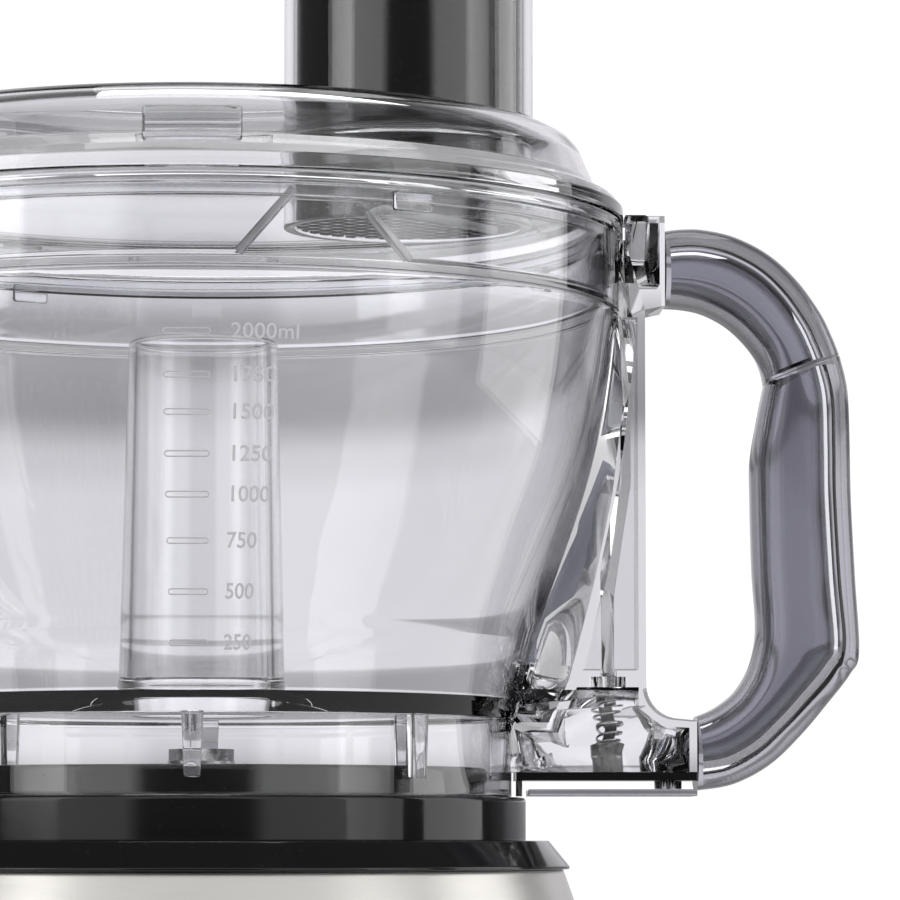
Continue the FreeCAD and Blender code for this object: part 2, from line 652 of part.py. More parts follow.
def spring_cup():
    """Cup on the foot cover that holds the spring's lower end; the toe works through its slot."""
    z0, top = BOWL_Z + 6.3, BOWL_Z + 14.5
    cup = cyl(4.8, z0, top, SPRING_X, 0).cut(cyl(3.95, BOWL_Z + SPRING_LOW, top + 1, SPRING_X, 0))
    cup = cup.cut(cyl(3.95, z0 - 1, BOWL_Z + 10.6, SPRING_X, 0))
    cup = cup.cut(box(SPRING_X - 6, SPRING_X, -1.9, 1.9, z0 - 1, BOWL_Z + 10.6))
    return cup.cut(cyl(2.0, z0 - 1, top, SPRING_X, 0))


def foot_cover():
    plate = box(77.8, 122.4, -BRACKET_HALF, BRACKET_HALF, BOWL_Z + 4.2, BOWL_Z + 6.25)
    plate = plate.cut(box(70, BUTTON_X + 1.5, -1.4, 1.4, BOWL_Z, BOWL_Z + 8))
    return plate.cut(cyl(1.7, BOWL_Z, BOWL_Z + 8, 116, 0))


def foot_screw():
    """Coarse self-tapping screw that holds the foot cover in the bracket's boss."""
    x, top = 116.0, BOWL_Z + 15.5
    screw = cyl(1.55, BOWL_Z + 4.1, top, x, 0).fuse(cyl(3.4, BOWL_Z + 2.2, BOWL_Z + 4.15, x, 0))
    cross = box(x - 2, x + 2, -0.5, 0.5, BOWL_Z + 2.0, BOWL_Z + 3.2)
    cross = cross.fuse(box(x - 0.5, x + 0.5, -2, 2, BOWL_Z + 2.0, BOWL_Z + 3.2))
    return screw.cut(cross)


# ---------------------------------------------------------------- handle
SEAM_OUT, SEAM_IN = (159.2, 110.4), (140.4, 103.2)
UPPER_OUT = [(115.2, 141.6), (124.3, 142.0), (134.5, 139.6), (144.6, 133.4), (153.2, 123.2), SEAM_OUT]
UPPER_IN = [SEAM_IN, (138.2, 110.2), (132.0, 117.2), (124.3, 121.4), (115.2, 122.6)]
GRIP_OUT = [SEAM_OUT, (161.2, 104.0), (161.9, 74.0), (163.8, 34.5)]
GRIP_HEEL = [(160.6, 29.6), (154.3, 21.7), (146.8, 13.2), (138.0, 5.9), (129.3, 2.4), (122.7, 1.7)]
GRIP_IN = [(122.7, 20.2), (127.2, 22.2), (133.2, 26.9), (136.9, 34.2), (138.0, 44.2), (137.2, 56.7),
           (136.8, 74.2), (136.9, 84.2), (138.6, 94.2), SEAM_IN]


def offset_points(points, distance):
    """Moves a run of points sideways, to the left of its direction of travel."""
    out = []
    for i, p in enumerate(points):
        a, b = points[max(i - 1, 0)], points[min(i + 1, len(points) - 1)]
        dx, dz = b[0] - a[0], b[1] - a[1]
        length = math.hypot(dx, dz)
        out.append((p[0] - dz / length * distance, p[1] + dx / length * distance))
    return out


def softened(slab, radius):
    """Rounds the curved edges of a slab that lies across Y."""
    sides = [e for e in slab.Edges if e.BoundBox.YMax - e.BoundBox.YMin < 0.001]
    return slab.makeFillet(radius, [e for e in sides if not isinstance(e.Curve, Part.Line)])


def corner_rounded(slab, point, radius):
    """Rounds the one edge across Y that passes through an (x, z) point of the outline."""
    x, z = point[0], point[1] + BOWL_Z
    here = [e for e in slab.Edges if math.dist((e.BoundBox.Center.x, e.BoundBox.Center.z), (x, z)) < 0.2
            and e.BoundBox.YMax - e.BoundBox.YMin > 1]
    return slab.makeFillet(radius, here)


def handle_upper():
    outer = slab_xz(raised([UPPER_OUT[0], ("curve", *UPPER_OUT[1:]), SEAM_IN,
                            ("curve", *UPPER_IN[1:])]), HANDLE_HALF)
    outer = softened(outer, 4.0)
    roof, floor = offset_points(UPPER_OUT, -SPINE), offset_points(UPPER_IN, -SHELL)
    roof[-1], floor[0] = extended(roof[-2], roof[-1], 3), extended(floor[1], floor[0], 3)
    roof[0], floor[-1] = (117.6, roof[0][1]), (117.6, floor[-1][1])
    inner = slab_xz(raised([roof[0], ("curve", *roof[1:]), floor[0], ("curve", *floor[1:])]),
                    HANDLE_HALF - SHELL)
    return outer.cut(inner)


def extended(a, b, length):
    """The point length beyond b on the line from a."""
    d = math.hypot(b[0] - a[0], b[1] - a[1])
    return (b[0] + (b[0] - a[0]) * length / d, b[1] + (b[1] - a[1]) * length / d)


def handle_grip():
    outer = slab_xz(raised([GRIP_OUT[0], ("curve", *GRIP_OUT[1:]), GRIP_HEEL[0],
                            ("curve", *GRIP_HEEL[1:]), GRIP_IN[0],
                            ("curve", *GRIP_IN[1:])]), HANDLE_HALF)
    for corner in (GRIP_OUT[-1], GRIP_HEEL[0]):
        outer = corner_rounded(outer, corner, 3.0)
    outer = softened(outer, 4.0)
    spine = offset_points(GRIP_OUT, -SPINE)
    heel = offset_points(GRIP_HEEL, -SPINE)
    palm = offset_points(GRIP_IN, -SHELL)
    spine[0], palm[-1] = extended(spine[1], spine[0], 3), extended(palm[-2], palm[-1], 3)
    heel[-1], palm[0] = (124.9, heel[-1][1]), (124.9, palm[0][1])
    inner = slab_xz(raised([spine[0], ("curve", *spine[1:]), heel[0], ("curve", *heel[1:]),
                            palm[0], ("curve", *palm[1:])]), HANDLE_HALF - SHELL)
    grip = outer.cut(inner)
    tongue = box(77.8, 122.9, -HANDLE_HALF + 2, HANDLE_HALF - 2, BOWL_Z + 0.3, BOWL_Z + 2.1)
    tongue = tongue.cut(box(70, BUTTON_X + 1.5, -1.4, 1.4, BOWL_Z - 1, BOWL_Z + 8))
    return grip.fuse(tongue.cut(cyl(4.0, BOWL_Z + 0.2, BOWL_Z + 5, 116, 0)))


# ---------------------------------------------------------------- lid, feed tube and pusher
def lid_cover():
    top = revolved(raised([
        (0, LID_TOP), (86.0, LID_TOP), ("arc", (92.6, 162.6), (95.6, 157.4)), (98.3, 151.2),
        ("arc", (99.6, 149.9), (103.2, 148.2)), ("arc", (104.6, 147.3), (105.1, 145.8)),
        (105.1, RIM_HIGH + FIT), (98.4, RIM_HIGH + FIT),
        ("arc", (98.1, 146.0), (96.2, 149.6)), (93.0, 157.4),
        ("arc", (90.6, 160.9), (86.0, 162.4)), (0, 162.4)]))
    top = top.cut(oval(TUBE_A, TUBE_B, BOWL_Z + 155, BOWL_Z + 170))
    window = box(-11.5, 11.5, -101.0, -88.0, BOWL_Z + 147.8, BOWL_Z + 157.6)
    corners = [e for e in window.Edges if e.BoundBox.YMax - e.BoundBox.YMin > 1]
    window = window.makeFillet(1.5, corners).cut(cyl(94.2, BOWL_Z + 140, BOWL_Z + 170))
    return top.fuse(window).fuse(cam_nose())


def lid_skirt():
    """Skirt of the lid inside the bowl's ring, with the seal's groove. At the front it has a
    gap with sloping sides, where the food that the tube feeds in can pass."""
    ring = revolved(raised([
        (98.4, SKIRT_LOW), (100.7, SKIRT_LOW), (100.7, 136.4), (99.6, 137.0), (99.6, 140.6),
        (100.7, 141.2), (100.7, RIM_HIGH + FIT), (98.4, RIM_HIGH + FIT)]))
    gap = Part.Face(wire_xz(raised([(10.2, 122.0), (22.0, 136.0), (38.6, 136.0), (49.8, 122.0)]),
                            -110)).extrude(V(0, 50, 0))
    return ring.cut(gap)


def cam_nose():
    """The lid's nose beside the handle. Its underside is a ramp that lets the safety rod
    rise by LID_TRAVEL as the lid is turned LID_TURN degrees open."""
    climb = LID_TRAVEL / (107.0 * math.radians(LID_TURN))
    low, high = BOWL_Z + 131.3, BOWL_Z + 145.8
    side = Part.makePolygon([V(103.6, 6, low), V(103.6, 6, high), V(103.6, -6, high),
                             V(103.6, -6, low + 12 * climb), V(103.6, 6, low)])
    nose = Part.Face(side).extrude(V(7.0, 0, 0))
    return nose.cut(cyl(BOWL_R + 1.9, BOWL_Z + 120, BOWL_Z + RIM_HIGH + FIT))


def lid_seal():
    """Soft ring in the lid's groove, against the inside of the bowl's ring."""
    return tube(99.7, 101.2, BOWL_Z + 137.1, BOWL_Z + 140.5)


def feed_tube():
    z0, z1 = BOWL_Z + TUBE_LOW, BOWL_Z + TUBE_HIGH
    walls = oval(TUBE_A, TUBE_B, z0, z1).fuse(oval(TUBE_A + 1.6, TUBE_B + 1.6, z1 - 5, z1))
    return walls.cut(oval(TUBE_A - WALL, TUBE_B - WALL, z0 - 1, z1 + 1))


def pusher():
    gap = WALL + 0.6
    z0, z1 = BOWL_Z + TUBE_LOW + 0.6, BOWL_Z + TUBE_HIGH + FIT
    a, b = TUBE_A - gap, TUBE_B - gap
    body = oval(a, b, z0, z1)
    body = body.cut(oval(a - 2, b - 2, z0 + 6.5, z1 + 1))
    grooves = []
    for i in range(-9, 10):
        for lean in (45, -45):
            groove = box(-60, 60, -0.85, 0.85, z0 - 1, z0 + 3.0)
            groove.translate(V(0, (i + 0.5) * 4.2, 0))
            groove.rotate(AXIS_POINT, UP, lean)
            groove.translate(V(TUBE_X, 0, 0))
            grooves.append(groove)
    body = body.cut(grooves)
    brim = oval(TUBE_A + 2.2, TUBE_B + 2.2, z1, z1 + 3.0)
    return body.fuse(brim.cut(oval(a - 2, b - 2, z1 - 1, z1 + 5)))


def pusher_cap():
    z0 = BOWL_Z + TUBE_HIGH + FIT + 3.0
    cap = oval(TUBE_A + 2.2, TUBE_B + 2.2, z0, z0 + 6.0)
    top = [e for e in cap.Edges if e.BoundBox.ZMin > z0 + 5.9]
    cap = cap.makeFillet(3.0, top)
    gap = WALL + 0.6
    plug = oval(TUBE_A - gap - 2.2, TUBE_B - gap - 2.2, z0 - 4, z0 + 1)
    return cap.fuse(plug).cut(oval(TUBE_A - gap - 4, TUBE_B - gap - 4, z0 - 5, z0 + 3.5))


NODES = {
    "base_tray": base_tray, "foot_pads": foot_pads, "motor_housing": motor_housing,
    "top_deck": top_deck, "bowl_seat": bowl_seat, "control_panel": control_panel,
    "cord_inlet": cord_inlet, "rotary_switch": rotary_switch, "circuit_board": circuit_board,
    "motor_plate": motor_plate, "stator_core": stator_core, "field_coils": field_coils,
    "motor_frames": motor_frames, "motor_bearings": motor_bearings,
    "brush_holders": brush_holders, "carbon_brushes": carbon_brushes,
    "drive_belt": drive_belt, "spindle_housing": spindle_housing,
    "spindle_bushes": spindle_bushes, "spindle_seal": spindle_seal,
    "plate_screws": plate_screws, "deck_screws": deck_screws, "safety_switch": safety_switch,
    "speed_dial": speed_dial, "dial_pointer": dial_pointer, "dial_shaft": dial_shaft,
    "rotor_shaft": rotor_shaft, "armature": armature, "commutator": commutator,
    "cooling_fan": cooling_fan, "motor_pulley": motor_pulley,
    "output_spindle": output_spindle, "spindle_pulley": spindle_pulley,
    "spindle_clips": spindle_clips, "drive_coupling": drive_coupling,
    "safety_button": safety_button, "glide_ring": glide_ring,
    "bowl_shell": bowl_shell, "bowl_floor": bowl_floor, "centre_column": centre_column, "handle_bracket": handle_bracket,
    "handle_upper": handle_upper, "handle_grip": handle_grip, "foot_cover": foot_cover,
    "foot_screw": foot_screw, "spring_cup": spring_cup,
    "interlock_rod": interlock_rod, "interlock_block": interlock_block,
    "interlock_spring": interlock_spring,
    "lid_cover": lid_cover, "lid_skirt": lid_skirt, "lid_seal": lid_seal, "feed_tube": feed_tube,
    "pusher": pusher, "pusher_cap": pusher_cap,
}

for node, make in NODES.items():
    save(node, make())
print(f"{len(NODES)} nodes")
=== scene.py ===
# %% [markdown]
# # A food processor, cell by cell
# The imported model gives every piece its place, in metres, with +Z up, +X towards the handle
# and -Y towards the user. Clear mouldings are rebuilt here with finer curves than the packed
# meshes have, because every flat facet in clear plastic bends the light and shows. The other
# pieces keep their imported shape.

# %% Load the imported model
import json
import math
import bpy
import bmesh
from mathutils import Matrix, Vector


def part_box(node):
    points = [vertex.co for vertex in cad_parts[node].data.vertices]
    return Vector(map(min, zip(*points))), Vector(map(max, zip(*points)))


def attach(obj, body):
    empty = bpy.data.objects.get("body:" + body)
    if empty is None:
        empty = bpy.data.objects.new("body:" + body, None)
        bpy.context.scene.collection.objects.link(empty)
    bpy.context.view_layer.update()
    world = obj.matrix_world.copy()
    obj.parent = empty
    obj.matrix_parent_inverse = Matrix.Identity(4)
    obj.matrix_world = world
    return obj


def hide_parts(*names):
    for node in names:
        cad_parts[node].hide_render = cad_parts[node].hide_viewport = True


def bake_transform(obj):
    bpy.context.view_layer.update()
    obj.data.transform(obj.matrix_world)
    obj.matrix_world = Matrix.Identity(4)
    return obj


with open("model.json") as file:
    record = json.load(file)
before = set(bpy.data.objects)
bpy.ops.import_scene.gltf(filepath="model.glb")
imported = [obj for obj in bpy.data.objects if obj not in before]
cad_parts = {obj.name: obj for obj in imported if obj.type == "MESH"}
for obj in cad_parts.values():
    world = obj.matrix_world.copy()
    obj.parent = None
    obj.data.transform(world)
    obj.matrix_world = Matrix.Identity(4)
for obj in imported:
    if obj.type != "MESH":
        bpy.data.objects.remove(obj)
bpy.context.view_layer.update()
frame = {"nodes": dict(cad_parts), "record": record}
NODES = frame["nodes"]
MM = 0.001
FOOT_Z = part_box("bowl_floor")[0].z - 0.1 * MM      # underside of the bowl's skirt
print(len(NODES), "pieces, bowl stands at", round(FOOT_Z / MM, 1), "mm")


# %% [markdown]
# ## Shared shader effects
# Moulded and brushed surfaces are never perfectly even. Each effect could be painted as an
# image, but noise in object space has no seams and any resolution, so each is one small node
# group that several materials share: handling marks, and the grain of brushed metal.

# %% Node helpers
def node(tree, kind, **values):
    """Adds a node and sets its plain attributes and its input sockets by name."""
    made = tree.nodes.new(kind)
    for key, value in values.items():
        if key.startswith("_"):
            made.inputs[key[1:].replace("_", " ")].default_value = value
        else:
            setattr(made, key, value)
    return made


def wire(tree, out, into):
    tree.links.new(out, into)


def new_group(name, inputs, outputs):
    """A shader node group with float inputs (name: default) and the named outputs."""
    group = bpy.data.node_groups.new(name, "ShaderNodeTree")
    group.interface.new_socket("Vector", in_out="INPUT", socket_type="NodeSocketVector")
    for key, value in inputs.items():
        socket = group.interface.new_socket(key, in_out="INPUT", socket_type="NodeSocketFloat")
        socket.default_value = value
    for key in outputs:
        group.interface.new_socket(key, in_out="OUTPUT", socket_type="NodeSocketFloat")
    return group, group.nodes.new("NodeGroupInput"), group.nodes.new("NodeGroupOutput")


def maths(tree, operation, a, b=None, clamp=False):
    """A Math node; a and b are sockets or numbers. Gives its output."""
    made = node(tree, "ShaderNodeMath", operation=operation, use_clamp=clamp)
    for i, value in enumerate((a, b)):
        if value is None:
            continue
        if isinstance(value, (int, float)):
            made.inputs[i].default_value = value
        else:
            wire(tree, value, made.inputs[i])
    return made.outputs[0]


print("node helpers ready")


# %% [markdown]
# ### Handling marks
# Handled plastic carries broad smudges and hairline scratches. The smudges are soft noise; the
# scratches are noise stretched along one slanting direction, of which only the peaks are kept.

# %% Handling marks
def make_marks():
    group, given, out = new_group("Handling marks", {"Smudge scale": 30.0, "Scratch scale": 900.0},
                                  ["Smudge", "Scratch"])
    smudge = node(group, "ShaderNodeTexNoise", _Detail=5.0, _Roughness=0.62)
    wire(group, given.outputs["Vector"], smudge.inputs["Vector"])
    wire(group, given.outputs["Smudge scale"], smudge.inputs["Scale"])
    soft = node(group, "ShaderNodeMapRange")
    soft.inputs["From Min"].default_value = 0.40
    soft.inputs["From Max"].default_value = 0.72
    wire(group, smudge.outputs["Fac"], soft.inputs["Value"])
    wire(group, soft.outputs["Result"], out.inputs["Smudge"])
    stretch = node(group, "ShaderNodeMapping")
    stretch.inputs["Rotation"].default_value = (0.5, 0.9, 0.3)
    stretch.inputs["Scale"].default_value = (1.0, 0.04, 1.0)
    wire(group, given.outputs["Vector"], stretch.inputs["Vector"])
    hair = node(group, "ShaderNodeTexNoise", _Detail=2.0)
    wire(group, stretch.outputs["Vector"], hair.inputs["Vector"])
    wire(group, given.outputs["Scratch scale"], hair.inputs["Scale"])
    thin = node(group, "ShaderNodeMapRange")
    thin.inputs["From Min"].default_value = 0.68
    thin.inputs["From Max"].default_value = 0.74
    wire(group, hair.outputs["Fac"], thin.inputs["Value"])
    wire(group, thin.outputs["Result"], out.inputs["Scratch"])
    return group


MARKS = make_marks()
print("shader group:", MARKS.name)


# %% [markdown]
# ### Brushed grain
# A brush held against a turning shell leaves streaks that run round the vertical axis. Noise
# on the turn and the height gives them: slow along the turn, fast along the height.

# %% Brushed grain
def make_grain():
    group, given, out = new_group("Brushed grain", {"Streaks": 1800.0, "Length": 6.0}, ["Grain", "Band"])
    parts = node(group, "ShaderNodeSeparateXYZ")
    wire(group, given.outputs["Vector"], parts.inputs[0])
    angle = maths(group, "ARCTAN2", parts.outputs["Y"], parts.outputs["X"])
    turn = maths(group, "MULTIPLY", angle, given.outputs["Length"])
    height = maths(group, "MULTIPLY", parts.outputs["Z"], given.outputs["Streaks"])
    place = node(group, "ShaderNodeCombineXYZ")
    wire(group, turn, place.inputs["X"])
    wire(group, height, place.inputs["Y"])
    fine = node(group, "ShaderNodeTexNoise", _Scale=1.0, _Detail=4.0, _Roughness=0.7)
    wire(group, place.outputs[0], fine.inputs["Vector"])
    wire(group, fine.outputs["Fac"], out.inputs["Grain"])
    slow = node(group, "ShaderNodeMapping")
    slow.inputs["Scale"].default_value = (0.3, 0.06, 1.0)
    wire(group, place.outputs[0], slow.inputs["Vector"])
    band = node(group, "ShaderNodeTexNoise", _Scale=1.0, _Detail=3.0)
    wire(group, slow.outputs["Vector"], band.inputs["Vector"])
    wire(group, band.outputs["Fac"], out.inputs["Band"])
    return group


GRAIN = make_grain()
print("shader group:", GRAIN.name)


# %% [markdown]
# ## Finishes
# Each finish is one material. The clear mouldings are a solid of refracting plastic, not an
# alpha blend, because their look is nearly all edges: dark lines where the wall turns away and
# bright ones where it catches a lamp. The index is that of a styrene moulding, 1.57.

# %% Start of a material
def start_material(name, **settings):
    """A material with a Principled shader; settings are its sockets, underscores for spaces."""
    made = bpy.data.materials.new(name)
    made.use_nodes = True
    shader = made.node_tree.nodes["Principled BSDF"]
    for key, value in settings.items():
        if key.endswith("_Color") or key.endswith("_Tint"):
            value = (*value, 1.0)
        shader.inputs[key.replace("_", " ")].default_value = value
    place = node(made.node_tree, "ShaderNodeTexCoord")
    return made, made.node_tree, shader, place.outputs["Object"]


def add_group(tree, group, vector, **values):
    made = node(tree, "ShaderNodeGroup", node_tree=group)
    wire(tree, vector, made.inputs["Vector"])
    for key, value in values.items():
        made.inputs[key.replace("_", " ")].default_value = value
    return made


def ranged(tree, value, low, high):
    """Value from 0 to 1 spread over low to high."""
    made = node(tree, "ShaderNodeMapRange")
    made.inputs["To Min"].default_value = low
    made.inputs["To Max"].default_value = high
    wire(tree, value, made.inputs["Value"])
    return made.outputs["Result"]


def bumped(tree, shader, height, strength, distance):
    made = node(tree, "ShaderNodeBump", _Strength=strength, _Distance=distance)
    wire(tree, height, made.inputs["Height"])
    wire(tree, made.outputs["Normal"], shader.inputs["Normal"])


def mixed(tree, factor, a, b):
    """Blend of two fixed colours by a factor socket."""
    made = node(tree, "ShaderNodeMix", data_type="RGBA")
    made.inputs[6].default_value = (*a, 1.0)
    made.inputs[7].default_value = (*b, 1.0)
    wire(tree, factor, made.inputs["Factor"])
    return made.outputs[2]


print("material helpers ready")


# %% [markdown]
# ### Clear and smoke-grey plastic
# The bowl, lid and handle share one recipe. As the surface turns away from the eye, the colour
# moves towards a dark edge colour: painted shade for the dark lines along a thick wall.
# The column and lid have a paler painted edge shade than the bowl, and the handle a nearly black one.

# %% Clear and smoke-grey plastic
def clear_plastic(name, colour, tinted, painted_edge_shade, low, high, index=1.57, haze=0.0, begin=0.45,
                  full=0.97):
    """Refracting plastic whose tint and gloss vary a little, with a faint moulding ripple.
    Seen along its surface it takes the edge colour, a painted shade for thick plastic's dark edges."""
    made, tree, shader, place = start_material(name, Transmission_Weight=1.0 - haze, IOR=index)
    marks = add_group(tree, MARKS, place, Smudge_scale=22.0, Scratch_scale=700.0)
    face_on = mixed(tree, marks.outputs["Smudge"], colour, tinted)
    # Painted shade: as the surface turns away from the eye, the colour moves to the edge colour.
    slant = node(tree, "ShaderNodeLayerWeight", _Blend=0.5)
    edge_shade_amount = node(tree, "ShaderNodeMapRange", interpolation_type="SMOOTHSTEP")
    edge_shade_amount.inputs["From Min"].default_value = begin
    edge_shade_amount.inputs["From Max"].default_value = full
    wire(tree, slant.outputs["Facing"], edge_shade_amount.inputs["Value"])
    both = node(tree, "ShaderNodeMix", data_type="RGBA")
    both.inputs[7].default_value = (*painted_edge_shade, 1.0)
    wire(tree, edge_shade_amount.outputs["Result"], both.inputs["Factor"])
    wire(tree, face_on, both.inputs[6])
    wire(tree, both.outputs[2], shader.inputs["Base Color"])
    wire(tree, ranged(tree, marks.outputs["Smudge"], low, high), shader.inputs["Roughness"])
    ripple = node(tree, "ShaderNodeTexNoise", _Scale=16.0, _Detail=1.0)
    wire(tree, place, ripple.inputs["Vector"])
    bumped(tree, shader, ripple.outputs["Fac"], 0.25, 0.0006)
    return made


# The third colour of each is its painted edge shade.
CLEAR_BOWL = clear_plastic("clear_bowl_plastic", (0.972, 0.974, 0.986), (0.955, 0.958, 0.974),
                           (0.16, 0.16, 0.18), 0.0, 0.03)
CLEAR_COLUMN = clear_plastic("clear_column_plastic", (0.985, 0.985, 0.99), (0.975, 0.975, 0.985),
                             (0.55, 0.55, 0.58), 0.0, 0.03, begin=0.6)
CLEAR_LID = clear_plastic("clear_lid_plastic", (0.975, 0.977, 0.986), (0.962, 0.965, 0.978),
                          (0.40, 0.40, 0.43), 0.0, 0.025, begin=0.6)
SMOKE = clear_plastic("smoke_handle_plastic", (0.53, 0.53, 0.575), (0.48, 0.48, 0.525),
                      (0.012, 0.012, 0.015), 0.02, 0.06, 1.5, begin=0.2, full=0.8)
print("clear plastics:", CLEAR_BOWL.name, CLEAR_COLUMN.name, CLEAR_LID.name, SMOKE.name)


# %% [markdown]
# ### Black plastics and rubber
# The collar and deck are polished, the tray and panel are satin. They differ only in gloss and
# in the depth of a fine bump. The silicone seal lets light through, so it uses the clear recipe.

# %% Black plastics and rubber
def black_plastic(name, colour, low, high, grit):
    """Moulded black plastic; grit is how deep its fine texture is, in metres."""
    made, tree, shader, place = start_material(name, IOR=1.5)
    marks = add_group(tree, MARKS, place, Smudge_scale=26.0, Scratch_scale=800.0)
    lighter = tuple(c * 1.7 + 0.003 for c in colour)
    wire(tree, mixed(tree, marks.outputs["Scratch"], colour, lighter), shader.inputs["Base Color"])
    wire(tree, ranged(tree, marks.outputs["Smudge"], low, high), shader.inputs["Roughness"])
    grain = node(tree, "ShaderNodeTexNoise", _Scale=2600.0 if grit > 5e-5 else 240.0, _Detail=3.0)
    wire(tree, place, grain.inputs["Vector"])
    bumped(tree, shader, grain.outputs["Fac"], 0.35, grit)
    return made


GLOSS_BLACK = black_plastic("gloss_black_plastic", (0.010, 0.010, 0.011), 0.06, 0.16, 2e-5)
SATIN_BLACK = black_plastic("satin_black_plastic", (0.022, 0.022, 0.024), 0.38, 0.50, 1e-4)
RUBBER = black_plastic("black_rubber", (0.016, 0.016, 0.016), 0.62, 0.78, 1.5e-4)
# Its third colour is painted edge shade.
GREY_RUBBER = clear_plastic("grey_silicone", (0.90, 0.90, 0.92), (0.86, 0.86, 0.89),
                            (0.4, 0.4, 0.42), 0.06, 0.18, 1.41)
print("blacks:", GLOSS_BLACK.name, SATIN_BLACK.name, RUBBER.name, "and", GREY_RUBBER.name)


# %% [markdown]
# ### Metals
# The housing and the turned shafts show a grain; plated screws, copper and bronze do not, and
# need only a mottled tone.

# %% Metals
def brushed_metal(name, colour, darker, low, high, streaks):
    """Metal brushed round the vertical axis; the grain shifts tone, gloss and surface."""
    made, tree, shader, place = start_material(name, Metallic=1.0)
    grain = add_group(tree, GRAIN, place, Streaks=streaks)
    wire(tree, mixed(tree, grain.outputs["Grain"], colour, darker), shader.inputs["Base Color"])
    wire(tree, ranged(tree, grain.outputs["Band"], low, high), shader.inputs["Roughness"])
    bumped(tree, shader, grain.outputs["Grain"], 0.25, 6e-5)
    return made


BRUSHED = brushed_metal("brushed_steel", (0.74, 0.72, 0.69), (0.60, 0.585, 0.56), 0.24, 0.36, 5200.0)
TURNED = brushed_metal("turned_steel", (0.66, 0.66, 0.67), (0.55, 0.55, 0.56), 0.2, 0.32, 9000.0)


def plain_metal(name, colour, low, high, scale=120.0):
    """Plated, cast or sintered metal with a mottled tone."""
    made, tree, shader, place = start_material(name, Metallic=1.0)
    marks = add_group(tree, MARKS, place, Smudge_scale=scale, Scratch_scale=1500.0)
    darker = tuple(c * 0.78 for c in colour)
    wire(tree, mixed(tree, marks.outputs["Smudge"], colour, darker), shader.inputs["Base Color"])
    wire(tree, ranged(tree, marks.outputs["Smudge"], low, high), shader.inputs["Roughness"])
    bumped(tree, shader, marks.outputs["Scratch"], 0.15, 3e-5)
    return made


PLATED = plain_metal("zinc_plate", (0.66, 0.67, 0.70), 0.22, 0.42)
SPRING_WIRE = plain_metal("spring_wire", (0.74, 0.74, 0.76), 0.12, 0.24)
COPPER = plain_metal("enamelled_copper", (0.72, 0.33, 0.15), 0.25, 0.4, 500.0)
BRONZE = plain_metal("sintered_bronze", (0.55, 0.40, 0.20), 0.4, 0.55, 900.0)
LAMINATED = plain_metal("stacked_laminations", (0.22, 0.22, 0.24), 0.4, 0.6, 300.0)
print("metals:", BRUSHED.name, TURNED.name, PLATED.name, SPRING_WIRE.name, COPPER.name)


# %% [markdown]
# ### Small plain plastics
# The circuit board, brushes and white pointer are opaque and matt. Natural nylon is milky: it
# is the clear recipe with a fifth of its light scattered.

# %% Small plain plastics
def matt_plastic(name, colour, low=0.4, high=0.55, grit=3e-5):
    """Opaque moulded plastic, laminate or carbon with a fine texture."""
    made, tree, shader, place = start_material(name, IOR=1.5)
    marks = add_group(tree, MARKS, place, Smudge_scale=60.0, Scratch_scale=1000.0)
    other = tuple(c * 0.9 for c in colour)
    wire(tree, mixed(tree, marks.outputs["Smudge"], colour, other), shader.inputs["Base Color"])
    wire(tree, ranged(tree, marks.outputs["Smudge"], low, high), shader.inputs["Roughness"])
    grain = node(tree, "ShaderNodeTexNoise", _Scale=1800.0, _Detail=2.0)
    wire(tree, place, grain.inputs["Vector"])
    bumped(tree, shader, grain.outputs["Fac"], 0.3, grit)
    return made


# Its third colour is painted edge shade.
NYLON = clear_plastic("natural_nylon", (0.95, 0.95, 0.94), (0.92, 0.92, 0.90), (0.5, 0.5, 0.49),
                      0.10, 0.22, 1.53, haze=0.2)
WHITE_FILL = matt_plastic("white_fill", (0.82, 0.82, 0.80), 0.5, 0.6)
BOARD = matt_plastic("green_laminate", (0.03, 0.16, 0.07), 0.3, 0.45)
CARBON = matt_plastic("pressed_carbon", (0.05, 0.05, 0.055), 0.5, 0.6)
print(len(bpy.data.materials), "materials")


# %% [markdown]
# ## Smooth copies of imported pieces
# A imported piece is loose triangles, which can't be shaded smoothly. The curved ones could be
# modelled again, but their shape is right already, so a copy is merged into one skin and its
# normals follow the curve up to a sharp edge.

# %% Merge and smooth
def link(piece):
    bpy.context.scene.collection.objects.link(piece)
    return piece


def smooth_up_to(mesh, degrees):
    mesh.polygons.foreach_set("use_smooth", [True] * len(mesh.polygons))
    mesh.set_sharp_from_angle(angle=math.radians(degrees))
    mesh.update()


def mesh_from(work, name):
    """Turns a finished bmesh into a mesh."""
    mesh = bpy.data.meshes.new(name)
    work.to_mesh(mesh)
    work.free()
    return mesh


def piece_from(work, name, sharp=40):
    """Turns a finished bmesh into a smoothly shaded object."""
    mesh = mesh_from(work, name)
    smooth_up_to(mesh, sharp)
    return link(bpy.data.objects.new(name, mesh))


def applied(piece):
    """The piece's mesh with its modifiers, as a new mesh."""
    bpy.context.view_layer.update()
    seen = piece.evaluated_get(bpy.context.evaluated_depsgraph_get())
    return bpy.data.meshes.new_from_object(seen)


def capped(work, loops):
    """Joins loops of vertices into one closed skin with flat ends, and gives its faces."""
    faces = []
    for a, b in zip(loops, loops[1:]):
        for i in range(len(a)):
            j = (i + 1) % len(a)
            faces.append(work.faces.new((a[i], a[j], b[j], b[i])))
    faces.append(work.faces.new(list(reversed(loops[0]))))
    faces.append(work.faces.new(loops[-1]))
    bmesh.ops.recalc_face_normals(work, faces=faces)
    return faces


